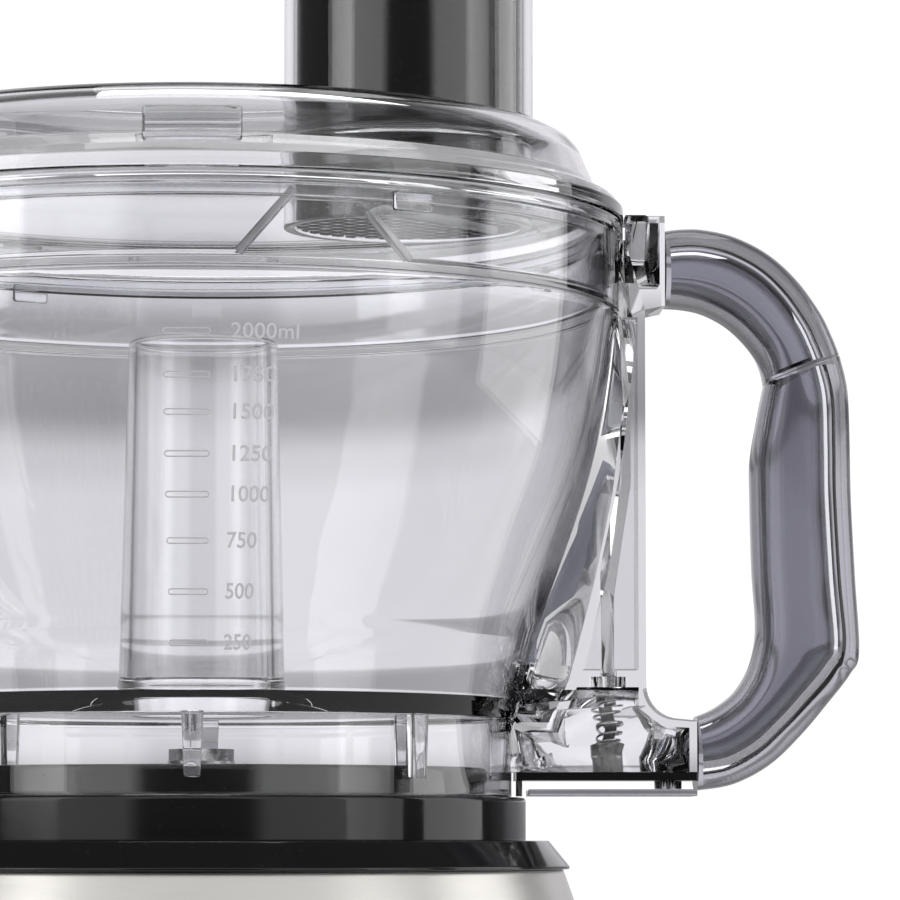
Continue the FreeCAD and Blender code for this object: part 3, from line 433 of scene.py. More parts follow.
def smooth_copy(name, material, body, degrees=28):
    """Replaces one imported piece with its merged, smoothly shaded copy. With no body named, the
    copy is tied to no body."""
    work = bmesh.new()
    work.from_mesh(NODES[name].data)
    bmesh.ops.remove_doubles(work, verts=work.verts, dist=2e-6)
    mesh = mesh_from(work, name + "_skin")
    mesh.materials.clear()
    mesh.materials.append(material)
    for face in mesh.polygons:
        face.material_index = 0
    smooth_up_to(mesh, degrees)
    piece = link(bpy.data.objects.new(name + "_skin", mesh))
    if body:
        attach(piece, body)
    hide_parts(name)
    return piece


print("mesh helpers ready")


# %% [markdown]
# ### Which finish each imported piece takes
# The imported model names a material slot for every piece. One table turns slots into finishes,
# so that two pieces of the same stuff can't drift apart. The clear, round and steel mouldings
# are rebuilt further on and are left out of the smooth copies here.

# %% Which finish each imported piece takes
SLOT_FINISH = {
    "clear_bowl": CLEAR_BOWL, "clear_lid": CLEAR_LID, "smoke_handle": SMOKE,
    "black_gloss": GLOSS_BLACK, "black_matte": SATIN_BLACK, "brushed_steel": BRUSHED,
    "machined_steel": TURNED, "spring_steel": SPRING_WIRE, "zinc_screw": PLATED,
    "rubber_black": RUBBER, "rubber_grey": GREY_RUBBER, "pointer_white": WHITE_FILL,
    "laminations": LAMINATED, "copper": COPPER, "carbon": CARBON, "bronze": BRONZE,
    "board": BOARD, "nylon": NYLON, "zinc_plate": PLATED,
}
NODE_SLOT = {s["node"]: s["material_slot"] for s in frame["record"]["subparts"]}
for name, piece in NODES.items():
    piece.data.materials.clear()
    piece.data.materials.append(SLOT_FINISH[NODE_SLOT[name]])
NODE_BODY = {n: b for b, members in frame["record"]["behaviour"]["bodies"].items() for n in members}
REBUILT = {"bowl_shell", "bowl_floor", "centre_column", "lid_cover", "lid_skirt", "feed_tube",
           "bowl_seat", "top_deck", "motor_housing", "handle_upper", "handle_grip"}
SPRING = "interlock_spring"
for name in sorted(set(NODES) - REBUILT - {SPRING}):
    smooth_copy(name, SLOT_FINISH[NODE_SLOT[name]], NODE_BODY[name])
print("smoothed", len(NODES) - len(REBUILT) - 1, "packed pieces")


# %% [markdown]
# ## Spring of the safety rod
# The spring stands in a cup on the bowl and carries the rod on its top coil, so it grows as the
# rod rises. Tied to one of the two it would come away from the other, so it is tied to neither:
# it stays a smooth copy at its imported place.

# %% Smooth copy of the spring, with its place baked in
spring = smooth_copy(SPRING, SPRING_WIRE, None)
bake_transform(spring)


# %% [markdown]
# ## Turned pieces
# The bowl, lid, collar, deck and housing are round, and the feed tube and its rim are oval.
# A Screw modifier could turn a profile, but it can't follow an oval, so one function walks a
# closed outline round a circle or an oval. Most corners of an outline get a small radius,
# because moulded plastic has no sharp corners and a rounded one catches the light.

# %% An outline with rounded corners
def rounded(corners, steps=5):
    """Outline points in mm from corners (across, up, radius); radius 0 keeps the point."""
    points = []
    count = len(corners)
    for i, (x, z, radius) in enumerate(corners):
        here = Vector((x, z))
        if radius <= 0:
            points.append(here)
            continue
        before = Vector(corners[i - 1][:2]) - here
        after = Vector(corners[(i + 1) % count][:2]) - here
        half = before.angle(after) / 2
        reach = min(radius / math.tan(half), before.length * 0.48, after.length * 0.48)
        start, end = here + before.normalized() * reach, here + after.normalized() * reach
        for k in range(steps + 1):
            t = k / steps
            points.append(start * (1 - t) ** 2 + here * 2 * t * (1 - t) + end * t * t)
    return points


def curve_through(points, steps=6):
    """A smooth run of points (across, up, 0) through the given ones, ends included."""
    out = []
    for i in range(len(points) - 1):
        p0, p1 = Vector(points[max(i - 1, 0)]), Vector(points[i])
        p2, p3 = Vector(points[i + 1]), Vector(points[min(i + 2, len(points) - 1)])
        for k in range(steps):
            t = k / steps
            at = 0.5 * (2 * p1 + (p2 - p0) * t + (2 * p0 - 5 * p1 + 4 * p2 - p3) * t * t
                        + (3 * p1 - p0 - 3 * p2 + p3) * t ** 3)
            out.append((at.x, at.y, 0))
    out.append((points[-1][0], points[-1][1], 0))
    return out


print("outline helpers ready")


# %% [markdown]
# ### Walk the outline
# Rounding a corner tilts the blended normals of the whole flat beside it, and clear plastic
# then bends light as if it were curved. A point close to each end of a long flat holds it.

# %% Walk the outline round a circle or an oval
def held(outline, near=0.35, longest=6.0):
    """Adds a point close to each end of every long straight run, so that the rounding at a
    corner doesn't tilt the normals of the flat beside it."""
    out = []
    for i, here in enumerate(outline):
        there = outline[(i + 1) % len(outline)]
        out.append(here)
        if (there - here).length > longest:
            step = (there - here).normalized() * near
            out += [here + step, there - step]
    return out


def turned(name, outline, base=FOOT_Z, oval=(0.0, 0.0), centre=0.0, around=240, sharp=40):
    """A closed ring: outline points in mm (out from the oval, up from base)."""
    outline = held(outline)
    work = bmesh.new()
    rings = []
    for i in range(around):
        turn = 2 * math.pi * i / around
        c, s = math.cos(turn), math.sin(turn)
        out_x, out_y = c, s
        if oval[0] > 0:                      # outward direction square to the oval
            out_x, out_y = c / oval[0], s / oval[1]
            size = math.hypot(out_x, out_y)
            out_x, out_y = out_x / size, out_y / size
        rings.append([work.verts.new(((centre + oval[0] * c + p.x * out_x) * MM,
                                      (oval[1] * s + p.x * out_y) * MM, base + p.y * MM))
                      for p in outline])
    count = len(outline)
    for i in range(around):
        a, b = rings[i], rings[(i + 1) % around]
        for k in range(count):
            m = (k + 1) % count
            work.faces.new((a[k], b[k], b[m], a[m]))
    bmesh.ops.recalc_face_normals(work, faces=work.faces)
    return piece_from(work, name, sharp)


def finish(piece, material, body, slot, *replaced):
    """Gives a finished piece its material and body, and hides what it stands for. slot is not used."""
    piece.data.materials.clear()
    piece.data.materials.append(material)
    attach(piece, body)
    if replaced:
        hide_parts(*replaced)
    return piece


print("turning helpers ready")


# %% [markdown]
# ## Bowl
# The bowl and its centre column are one injection moulding with a wall of 2.6 mm. Two pieces
# would leave a false surface inside the plastic where they meet, and it would show, so both
# are one closed outline: skirt, tapered wall, ring, rim, and back down inside to the floor
# and up over the column.

# %% The bowl's outline
WALL = 2.6
TAPER = [(79.0, 23.5), (82.8, 39.2), (89.8, 59.2), (96.3, 79.2), (100.5, 99.2), (102.7, 117.0),
         (103.0, 120.5)]
INNER = [(r - WALL, z) for r, z in TAPER]
RING, RIM = 104.0, 142.5
COLUMN_REACH, COLUMN_FOOT = 20.8, 26.0            # faces inside and above these are the column
bowl_outline = (
    [(77.0, 0.1, 0.5), (77.0, 19.3, 1.0)] + curve_through(TAPER)
    + [(RING, 120.5, 0.25), (RING, 139.0, 0.2), (RING + 1, 139.3, 0.3), (RING + 1, RIM, 0.8),
       (RING - WALL, RIM, 0.8), (RING - WALL, 122.2, 0.8)]
    + curve_through(list(reversed(INNER[1:])))
    + [(76.6, 24.6, 0), (74.2, 23.7, 0), (71.5, 23.5, 0), (25.5, 23.5, 0), (23.1, 23.9, 0),
       (21.6, 25.4, 0), (20.6, 28.5, 0), (18.6, 112.9, 0), (18.4, 113.5, 0), (18.0, 113.8, 0),
       (17.1, 113.8, 0), (16.7, 113.5, 0), (16.6, 112.9, 0), (17.5, 40.0, 0), (17.5, 20.0, 0.6),
       (74.4, 20.0, 1.2), (74.4, 0.1, 0.5)])
bowl = turned("bowl", rounded(bowl_outline))
finish(bowl, CLEAR_BOWL, "bowl", "clear_bowl", "bowl_shell", "bowl_floor", "centre_column")
bowl.data.materials.append(CLEAR_COLUMN)
for face in bowl.data.polygons:
    across = math.hypot(face.center.x, face.center.y)
    if across < COLUMN_REACH * MM and face.center.z > FOOT_Z + COLUMN_FOOT * MM:
        face.material_index = 1
print("bowl:", len(bowl.data.polygons), "faces")


# %% [markdown]
# ## What repeats on the bowl
# Eight ribs stand inside the skirt, four small lugs on the ring. Each set is one small shape
# copied round the axis, which a Geometry Nodes tree does with named inputs: how many, where
# the first one is, and the turn between two.

# %% A tree that copies a shape round the axis
def new_tree(name, inputs):
    """A Geometry Nodes tree with a geometry in and out, the inputs (name, kind) and a Finish."""
    tree = bpy.data.node_groups.new(name, "GeometryNodeTree")
    face = tree.interface
    face.new_socket("Geometry", in_out="INPUT", socket_type="NodeSocketGeometry")
    for key, kind in (*inputs, ("Finish", "Material")):
        face.new_socket(key, in_out="INPUT", socket_type="NodeSocket" + kind)
    face.new_socket("Geometry", in_out="OUTPUT", socket_type="NodeSocketGeometry")
    return tree, node(tree, "NodeGroupInput"), node(tree, "NodeGroupOutput")


def painted_copies(tree, given, out, points, shape, turn=None):
    """Ends a tree: the shape on each point, made real and given the finish."""
    copies = node(tree, "GeometryNodeInstanceOnPoints")
    wire(tree, points, copies.inputs["Points"])
    wire(tree, shape, copies.inputs["Instance"])
    if turn:
        wire(tree, turn, copies.inputs["Rotation"])
    real = node(tree, "GeometryNodeRealizeInstances")
    wire(tree, copies.outputs[0], real.inputs[0])
    paint = node(tree, "GeometryNodeSetMaterial")
    wire(tree, real.outputs[0], paint.inputs["Geometry"])
    wire(tree, given.outputs["Finish"], paint.inputs["Material"])
    wire(tree, paint.outputs[0], out.inputs[0])


def ring_tree():
    tree, given, out = new_tree("Copies round the axis", [("Count", "Int"), ("First turn", "Float"),
                                                         ("Step", "Float")])
    spots = node(tree, "GeometryNodePoints")
    wire(tree, given.outputs["Count"], spots.inputs["Count"])
    index = node(tree, "GeometryNodeInputIndex")
    turn = maths(tree, "MULTIPLY", index.outputs[0], given.outputs["Step"])
    turn = maths(tree, "ADD", turn, given.outputs["First turn"])
    spin = node(tree, "ShaderNodeCombineXYZ")
    wire(tree, turn, spin.inputs["Z"])
    painted_copies(tree, given, out, spots.outputs[0], given.outputs["Geometry"], spin.outputs[0])
    return tree


RING_TREE = ring_tree()


def with_tree(name, seed_mesh, tree, values, sharp=40):
    """Runs a Geometry Nodes tree on a mesh and keeps the result as a plain mesh object."""
    holder = link(bpy.data.objects.new(name + "_seed", seed_mesh))
    layer = holder.modifiers.new("nodes", "NODES")
    layer.node_group = tree
    for item in tree.interface.items_tree:
        if item.item_type == "SOCKET" and item.in_out == "INPUT" and item.name in values:
            layer[item.identifier] = values[item.name]
    mesh = applied(holder)
    mesh.name = name
    bpy.data.objects.remove(holder)
    smooth_up_to(mesh, sharp)
    return link(bpy.data.objects.new(name, mesh))


print("tree:", RING_TREE.name)


# %% [markdown]
# ### Small rounded blocks
# Ribs, lugs and bosses are all blocks with rounded edges. A cube with a bevel gives the small
# round that a moulding tool leaves, and a few dozen faces are enough.

# %% Small rounded blocks to copy
def rounded_block(low, high, radius):
    """A block in mm from its low to its high corner with all edges rounded."""
    work = bmesh.new()
    bmesh.ops.create_cube(work, size=1.0)
    for v in work.verts:
        v.co = Vector([(a + b) / 2 + c * (b - a) for a, b, c in zip(low, high, v.co)])
    bmesh.ops.bevel(work, geom=list(work.edges), offset=radius, segments=3, profile=0.5,
                    affect="EDGES")
    for v in work.verts:
        v.co = Vector((v.co.x * MM, v.co.y * MM, v.co.z * MM + FOOT_Z))
    return mesh_from(work, "block")


print("block helper ready")


# %% [markdown]
# ### Skirt ribs and ring lugs
# Eight ribs stiffen the skirt under the bowl's floor, and four lugs guide the lid on. The ribs
# get narrower downwards, so that the moulding leaves its tool.

# %% Skirt ribs and ring lugs
RIB_TOP, RIB_NARROW = 20.1, 0.66                  # height in mm, and width at the foot
rib = rounded_block((71.9, -2.6, 4.2), (74.6, 2.6, RIB_TOP), 0.5)
for v in rib.vertices:
    v.co.y *= RIB_NARROW + (1 - RIB_NARROW) * (v.co.z - FOOT_Z) / MM / RIB_TOP
ribs = with_tree("skirt_ribs", rib, RING_TREE,
                 {"Count": 8, "First turn": math.radians(45), "Step": math.radians(45),
                  "Finish": CLEAR_BOWL})
finish(ribs, CLEAR_BOWL, "bowl", "clear_bowl")
lug = rounded_block((103.9, -5.2, 134.0), (105.5, 5.2, 138.7), 0.7)
lugs = with_tree("ring_lugs", lug, RING_TREE,
                 {"Count": 4, "First turn": math.radians(-61), "Step": math.radians(90),
                  "Finish": CLEAR_BOWL})
finish(lugs, CLEAR_BOWL, "bowl", "clear_bowl")
print("ribs and lugs:", len(ribs.data.polygons) + len(lugs.data.polygons), "faces")


# %% [markdown]
# ## Capacity marks
# The marks are raised outlines on the front of the wall, a bar and a number for each 250 ml.
# They are laid out flat first and then wrapped onto the tapered wall: sideways becomes a turn
# about the axis, and the radius is read from the wall's own outline at that height.

# %% Wrap a flat mark onto the wall
MARK_LEVELS = ((2000, 105.2), (1750, 95.4), (1500, 87.0), (1250, 77.6), (1000, 68.5),
               (750, 58.1), (500, 46.6), (250, 35.0))
MARK_BEND = 96.0                                  # mm sideways on the flat for one radian
MARKED = matt_plastic("frosted_mark", (0.80, 0.80, 0.83), 0.35, 0.5)


def wall_radius(height):
    """Outside radius of the bowl's wall in mm at a height in mm."""
    path = [(p[0], p[1]) for p in curve_through(TAPER)]
    for (r0, z0), (r1, z1) in zip(path, path[1:]):
        if z0 <= height <= z1:
            return r0 + (r1 - r0) * (height - z0) / max(z1 - z0, 1e-6)
    return path[-1][0]


def wrapped(mesh):
    """Moves a flat mesh (x sideways, y up, z off the wall, in mm) onto the front wall."""
    for v in mesh.vertices:
        side, up, off = v.co
        r = wall_radius(up) + off
        turn = -math.pi / 2 + side / MARK_BEND
        v.co = (r * math.cos(turn) * MM, r * math.sin(turn) * MM, FOOT_Z + up * MM)


print("marks at", [level for _, level in MARK_LEVELS], "mm")


# %% [markdown]
# ### Bars
# Every bar is the same raised outline at another height, so a tree puts one on each point. It
# bends a thin round line into a rounded frame, and its size is an input.

# %% Bars, as a Geometry Nodes tree
def bar_tree():
    """Outlined bars, one on each point of the input mesh."""
    sizes = [(key, "Float") for key in ("Width", "Height", "Line")]
    tree, given, out = new_tree("Outlined bars", sizes)
    frame_curve = node(tree, "GeometryNodeCurvePrimitiveQuadrilateral")
    wire(tree, given.outputs["Width"], frame_curve.inputs["Width"])
    wire(tree, given.outputs["Height"], frame_curve.inputs["Height"])
    soft = node(tree, "GeometryNodeFilletCurve", mode="POLY")
    soft.inputs["Count"].default_value = 4
    wire(tree, frame_curve.outputs[0], soft.inputs["Curve"])
    wire(tree, maths(tree, "MULTIPLY", given.outputs["Height"], 0.48), soft.inputs["Radius"])
    fine = node(tree, "GeometryNodeResampleCurve")
    fine.inputs["Count"].default_value = 64
    wire(tree, soft.outputs[0], fine.inputs["Curve"])
    section = node(tree, "GeometryNodeCurvePrimitiveCircle")
    section.inputs["Resolution"].default_value = 8
    wire(tree, given.outputs["Line"], section.inputs["Radius"])
    tube = node(tree, "GeometryNodeCurveToMesh")
    wire(tree, fine.outputs[0], tube.inputs["Curve"])
    wire(tree, section.outputs[0], tube.inputs["Profile Curve"])
    painted_copies(tree, given, out, given.outputs["Geometry"], tube.outputs[0])
    return tree


spots = bpy.data.meshes.new("mark_spots")
spots.from_pydata([(-0.9, level, 0.05) for _, level in MARK_LEVELS], [], [])
bars = with_tree("capacity_bars", spots, bar_tree(),
                 {"Width": 10.2, "Height": 1.25, "Line": 0.16, "Finish": MARKED}, 60)
wrapped(bars.data)
finish(bars, MARKED, "bowl", "clear_bowl")
print("bars:", len(bars.data.polygons), "faces")


# %% [markdown]
# ### Numbers
# The numbers are text with a little depth, made a mesh while still flat, because text can't be
# wrapped round a wall.

# %% Numbers, as text made a mesh
def number_mark(text, level):
    """A raised number, its middle at the level, starting beside the bar."""
    words = bpy.data.curves.new("number", "FONT")
    words.body = text
    words.size = 5.0
    words.extrude = 0.12
    words.bevel_depth = 0.06
    words.bevel_resolution = 1
    words.align_y = "CENTER"
    words.space_character = 1.02
    holder = link(bpy.data.objects.new("number", words))
    mesh = applied(holder)
    bpy.data.objects.remove(holder)
    for v in mesh.vertices:
        v.co = (v.co.x + 8.6, v.co.y + level, v.co.z + 0.05)
    return mesh


def joined(name, meshes):
    """One object from several meshes."""
    work = bmesh.new()
    for mesh in meshes:
        work.from_mesh(mesh)
    return piece_from(work, name)


numbers = joined("capacity_numbers",
                 [number_mark(f"{ml}ml" if ml == 2000 else str(ml), level)
                  for ml, level in MARK_LEVELS])
wrapped(numbers.data)
finish(numbers, MARKED, "bowl", "clear_bowl")
print("numbers:", len(numbers.data.polygons), "faces")


# %% [markdown]
# ## Lid and feed tube
# The lid is a shallow dome with a stepped brim, and the oval tube passes through it. The hole
# could be cut in the lid's turned grid by hand, but a Boolean modifier does it cleanly, and
# the tube's own foot flange then hides the seam, as the weld bead does on the real one.

# %% Lid
lid_outline = [
    (0.01, 165.0, 0), (86.0, 165.0, 0), (89.6, 164.4, 0), (92.4, 162.8, 0), (94.4, 160.3, 0),
    (95.6, 157.4, 0), (98.3, 151.2, 1.6), (103.2, 148.4, 1.5), (105.1, 146.2, 0.9),
    (105.1, 142.8, 0.5), (100.7, 142.8, 0.3), (100.7, 141.2, 0), (99.6, 140.6, 0.2),
    (99.6, 137.0, 0.2), (100.7, 136.4, 0), (100.7, 122.9, 0.7), (98.4, 122.9, 0.7),
    (98.4, 142.5, 0), (97.8, 146.0, 0), (96.2, 149.6, 0), (93.0, 157.4, 0), (92.0, 159.4, 0),
    (90.2, 161.2, 0), (88.2, 162.1, 0), (86.0, 162.4, 0), (0.01, 162.4, 0)]
lid = turned("lid", rounded(lid_outline))
print("lid turned:", len(lid.data.polygons), "faces")


# %% [markdown]
# ### Cutting tools for openings
# A Boolean needs a closed solid to cut with. Two are enough here: an upright oval slab for the
# tube's hole, and an outline drawn out along Y for the gap at the front of the skirt.

# %% Cutters
TUBE_X, TUBE_A, TUBE_B = 51.3, 31.3, 27.0         # the tube's place and half widths, mm
CUT_GAP = 0.4                                     # how far the hole stays inside the tube


def oval_plate(name, half_x, half_y, low, high, around=96):
    """An upright oval slab in line with the feed tube, in mm."""
    work = bmesh.new()
    capped(work, [[work.verts.new(((TUBE_X + half_x * math.cos(2 * math.pi * i / around)) * MM,
                                   half_y * math.sin(2 * math.pi * i / around) * MM,
                                   FOOT_Z + z * MM)) for i in range(around)] for z in (low, high)])
    return piece_from(work, name, 35)


def cut_away(piece, cutter, sharp=40):
    """Boolean difference, applied; the cutter is removed."""
    layer = piece.modifiers.new("cut", "BOOLEAN")
    layer.object = cutter
    layer.solver = "EXACT"
    mesh = applied(piece)
    piece.modifiers.clear()
    piece.data = mesh
    bpy.data.objects.remove(cutter)
    smooth_up_to(mesh, sharp)


def prism(points, y0, y1):
    """A cutter: an (x, z) outline in mm above the bowl's foot, made a slab along Y."""
    work = bmesh.new()
    capped(work, [[work.verts.new((x * MM, y * MM, FOOT_Z + z * MM)) for x, z in points]
                  for y in (y0, y1)])
    return link(bpy.data.objects.new("prism", mesh_from(work, "prism")))


hole = oval_plate("hole", TUBE_A - CUT_GAP, TUBE_B - CUT_GAP, 155.0, 172.0, 128)
cut_away(lid, hole)
cut_away(lid, prism([(10.2, 122.0), (22.0, 136.0), (38.6, 136.0), (49.8, 122.0)], -110, -60))
finish(lid, CLEAR_LID, "lid", "clear_lid", "lid_cover", "lid_skirt")
print("lid:", len(lid.data.polygons), "faces")


# %% [markdown]
# ### Feed tube
# One oval outline has the flange that hides the seam at the lid, the straight wall, and the
# thick rim at the top.

# %% Feed tube
tube_outline = [
    (-2.6, 142.0, 0.6), (0.0, 142.0, 0.6), (0.0, 161.2, 0.5), (3.2, 162.0, 0.4), (4.6, 165.1, 0.6),
    (2.0, 165.8, 1.2), (0.0, 169.5, 2.0), (0.0, 234.8, 0.8), (1.6, 236.6, 0.8), (1.6, 241.0, 0.8),
    (-2.6, 241.0, 0.8)]
feed_tube = turned("feed_tube_wall", rounded(tube_outline), oval=(TUBE_A, TUBE_B), centre=TUBE_X,
                   around=192)
finish(feed_tube, CLEAR_LID, "lid", "clear_lid", "feed_tube")
print("feed tube:", len(feed_tube.data.polygons), "faces")


# %% [markdown]
# ### Nose and front boss
# The nose beside the handle is the ramp that presses the safety slider, and it has a black cap.
# The boss is the thick block on the front of the brim. All three are small rounded blocks.

# %% Nose over the safety slider, and the boss on the front
nose = rounded_block((105.95, -6.0, 131.4), (110.6, 6.0, 143.6), 0.8)
nose_cap = joined("lid_nose_cap", [rounded_block((105.4, -6.2, 143.65), (110.7, 6.2, 145.3), 0.3)])
finish(nose_cap, GLOSS_BLACK, "lid", "black_gloss")
window = rounded_block((-11.5, -99.4, 147.8), (11.5, -95.2, 157.6), 1.0)
finish(joined("lid_nose", [nose]), CLEAR_LID, "lid", "clear_lid")
finish(joined("lid_front_boss", [window]), CLEAR_LID, "lid", "clear_lid")
print("nose, cap and boss set on the lid")


# %% [markdown]
# ### Ribs along the gap
# Two ribs edge the gap in the skirt. Each follows a bent path on the inside of a cylinder, so
# a round section is walked along the path. Their haze makes them paler than the skirt.

# %% Rounded ribs along the gap in the lid's skirt
def curved_bar(path, radius, width, depth, around=12, step=1.0):
    """A bar on the inside of a cylinder; path is (degrees right of the front, height)."""
    points = []
    for (a0, z0), (a1, z1) in zip(path, path[1:]):
        run = math.hypot(math.radians(a1 - a0) * radius, z1 - z0)
        count = max(1, round(run / step))
        points += [(a0 + (a1 - a0) * k / count, z0 + (z1 - z0) * k / count) for k in range(count)]
    points.append(path[-1])
    flat = [Vector((math.radians(a) * radius, z)) for a, z in points]
    work = bmesh.new()
    loops = []
    for i, here in enumerate(flat):
        along = (flat[min(i + 1, len(flat) - 1)] - flat[max(i - 1, 0)]).normalized()
        side = Vector((-along.y, along.x))
        loop = []
        for k in range(around):
            c, n = math.cos(2 * math.pi * k / around), math.sin(2 * math.pi * k / around)
            at = here + side * c * width / 2
            r = (radius - depth / 2 + n * depth / 2) * MM
            turn = at.x / radius - math.pi / 2
            loop.append(work.verts.new((r * math.cos(turn), r * math.sin(turn), FOOT_Z + at.y * MM)))
        loops.append(loop)
    capped(work, loops)
    return mesh_from(work, "bar")


# Its third colour is painted edge shade.
FROSTED_RIB = clear_plastic("frosted_rib_plastic", (0.99, 0.99, 1.0), (0.97, 0.97, 0.98),
                            (0.75, 0.75, 0.77), 0.08, 0.2, haze=0.45)
gap_ribs = joined("lid_gap_ribs", [
    curved_bar([(13.6, 138.6), (6.2, 123.8)], 98.2, 2.2, 1.6),
    curved_bar([(45.0, 132.4), (26.5, 134.9), (24.4, 133.8), (30.2, 123.8)], 98.2, 2.2, 1.6)])
finish(gap_ribs, FROSTED_RIB, "lid", "clear_lid")
print("gap ribs:", len(gap_ribs.data.polygons), "faces")


# %% [markdown]
# ## Sole of the pusher
# The pusher's underside is covered in small black pegs. The web between them is black gloss too;
# its lighter look is a painted reflection, one pale grey oval plate that the pegs stand through.

# %% Sole plate
# Painted reflection: this pale grey plate stands for the light that the black web between the pegs
# reflects.
REFLECTION_GREY = matt_plastic("painted_reflection_grey", (0.62, 0.62, 0.64), 0.3, 0.45)
finish(oval_plate("pusher_sole_reflection", 27.7, 23.4, 145.0, 145.55), REFLECTION_GREY, "food_pusher", "black_gloss")
print("sole plate set behind the pegs")


# %% [markdown]
# ## Handle
# The handle is two hollow smoke-grey mouldings that meet at a slanting seam. It is lofted
# through pairs of points, one on its inner edge and one on its outer edge, with a rounded
# section between them. The hollow inside is a second skin: its wall is thicker along the
# outer edge, and that thick edge is what draws the long bright line down the handle.

# %% Loft between two edges
LOFT_STEPS = 8                                    # rows made for each pair of points


def through(rows, steps):
    """Smooth run of rows of numbers through the given rows."""
    out = []
    for i in range(len(rows) - 1):
        r0, r1 = rows[max(i - 1, 0)], rows[i]
        r2, r3 = rows[i + 1], rows[min(i + 2, len(rows) - 1)]
        for k in range(steps):
            t = k / steps
            out.append([0.5 * (2 * b + (c - a) * t + (2 * a - 5 * b + 4 * c - d) * t * t
                               + (3 * b - a - 3 * c + d) * t ** 3)
                        for a, b, c, d in zip(r0, r1, r2, r3)])
    return out + [list(rows[-1])]


def skin(work, rows, half, power, inward, around=56):
    """One closed skin through rows (x, z inner edge, x, z outer edge), half deep along Y."""
    loops = []
    for x0, z0, x1, z1 in rows:
        loop = []
        for i in range(around):
            c, s = math.cos(2 * math.pi * i / around), math.sin(2 * math.pi * i / around)
            side = math.copysign(abs(c) ** (2 / power), c)
            deep = math.copysign(abs(s) ** (2 / power), s) * half
            loop.append(work.verts.new((((x0 + x1) / 2 + side * (x1 - x0) / 2) * MM, deep * MM,
                                        FOOT_Z + ((z0 + z1) / 2 + side * (z1 - z0) / 2) * MM)))
        loops.append(loop)
    faces = capped(work, loops)
    if inward:
        bmesh.ops.reverse_faces(work, faces=faces)


def inset(rows, inner, outer, ends):
    """Rows moved in from both edges, with the first and last few mm left out."""
    out = []
    for x0, z0, x1, z1 in rows:
        length = math.hypot(x1 - x0, z1 - z0)
        ux, uz = (x1 - x0) / length, (z1 - z0) / length
        out.append([x0 + ux * inner, z0 + uz * inner, x1 - ux * outer, z1 - uz * outer])
    return out[ends[0]:len(out) - ends[1]]


def hollow_loft(name, pairs, ends, power=3.0):
    """A tube of plastic through the pairs: an outer skin and a hollow inside it."""
    rows = through(pairs, LOFT_STEPS)
    work = bmesh.new()
    skin(work, rows, 11.5, power, False)
    skin(work, inset(rows, 2.4, 5.0, ends), 9.1, power - 0.3, True)
    return piece_from(work, name, 35)


print("loft helpers ready")


# %% [markdown]
# ### Arm, grip and foot
# The pairs of points run from the bracket over the arm to the seam, and from the seam down the
# grip to the foot. A black plug in the arm's end is painted shade: it gives the seam its dark
# band. A flat tongue closes the bracket.

# %% Upper arm, grip and tongue
ARM = [(115.3, 122.6, 115.3, 141.6), (119.8, 122.3, 119.6, 142.1), (124.3, 121.4, 125.0, 142.0),
       (128.4, 119.6, 133.0, 140.2), (132.0, 117.2, 141.5, 135.8), (135.4, 113.9, 148.6, 129.3),
       (138.2, 110.2, 154.4, 121.2), (139.7, 106.6, 157.4, 115.0), (140.4, 103.3, 159.1, 110.6)]
GRIP = [(140.4, 103.1, 159.3, 110.2), (138.6, 94.2, 161.2, 101.5), (136.9, 84.2, 161.7, 88.0),
        (136.8, 74.2, 161.9, 74.0), (137.2, 56.7, 162.8, 54.5), (138.0, 44.2, 163.7, 36.2),
        (137.6, 37.8, 161.4, 30.7), (135.8, 31.5, 155.8, 23.5), (132.8, 26.6, 148.8, 15.3),
        (129.6, 23.7, 141.0, 8.0), (126.2, 21.6, 132.0, 3.3), (122.8, 20.2, 122.8, 1.75)]
arm = hollow_loft("handle_arm", ARM, (3, 2))
finish(arm, SMOKE, "bowl", "smoke_handle", "handle_upper")
grip = hollow_loft("handle_grip_shell", GRIP, (1, 2))
finish(grip, SMOKE, "bowl", "smoke_handle", "handle_grip")
# Painted shade: a black plug in the end of the arm's hollow darkens the seam.
seam_shade = bmesh.new()
skin(seam_shade, inset(through(ARM, LOFT_STEPS), 2.6, 5.2, (0, 0))[-5:-2], 8.8, 2.7, False)
finish(piece_from(seam_shade, "seam_shade_plug", 35), GLOSS_BLACK, "bowl", "black_gloss")
tongue = joined("handle_tongue", [rounded_block((81.0, -9.4, 0.35), (122.6, 9.4, 2.05), 0.3)])
finish(tongue, SMOKE, "bowl", "smoke_handle")
blade = joined("joint_blade", [rounded_block((119.0, -7.9, 6.4), (120.5, 7.9, 17.0), 0.4)])
finish(blade, GLOSS_BLACK, "bowl", "black_gloss")
print("handle:", len(arm.data.polygons) + len(grip.data.polygons), "faces")


# %% [markdown]
# ## Collar, deck and steel housing
# All three are turned. The collar and deck are gloss black, so their corners are what shows:
# each gets a radius that draws a thin highlight. The housing is one drawn steel shell.

# %% Collar, deck
SEAT_RISE = 7.3                                                   # the seat above the collar
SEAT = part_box("bowl_seat")[1].z / MM - SEAT_RISE - FOOT_Z / MM    # top of the collar, mm
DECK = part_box("top_deck")[1].z / MM - FOOT_Z / MM                 # top of the deck, mm
seat_outline = [
    (80.5, DECK + 0.02, 0.2), (80.5, SEAT, 1.0), (77.3, SEAT, 0.3), (77.3, SEAT - 1.1, 0.2),
    (72.2, SEAT - 1.1, 0.2), (72.2, SEAT, 0.3), (71.0, SEAT, 0.3), (71.0, SEAT + SEAT_RISE, 1.4),
    (9.0, SEAT + SEAT_RISE, 0.4), (9.0, SEAT + 4.3, 0.3), (68.0, SEAT + 4.3, 0.5), (68.0, SEAT - 3.0, 0.5),
    (77.5, SEAT - 3.0, 0.5), (77.5, DECK + 0.02, 0.2)]
seat = turned("bowl_collar", rounded(seat_outline))
finish(seat, GLOSS_BLACK, "base", "black_gloss", "bowl_seat")
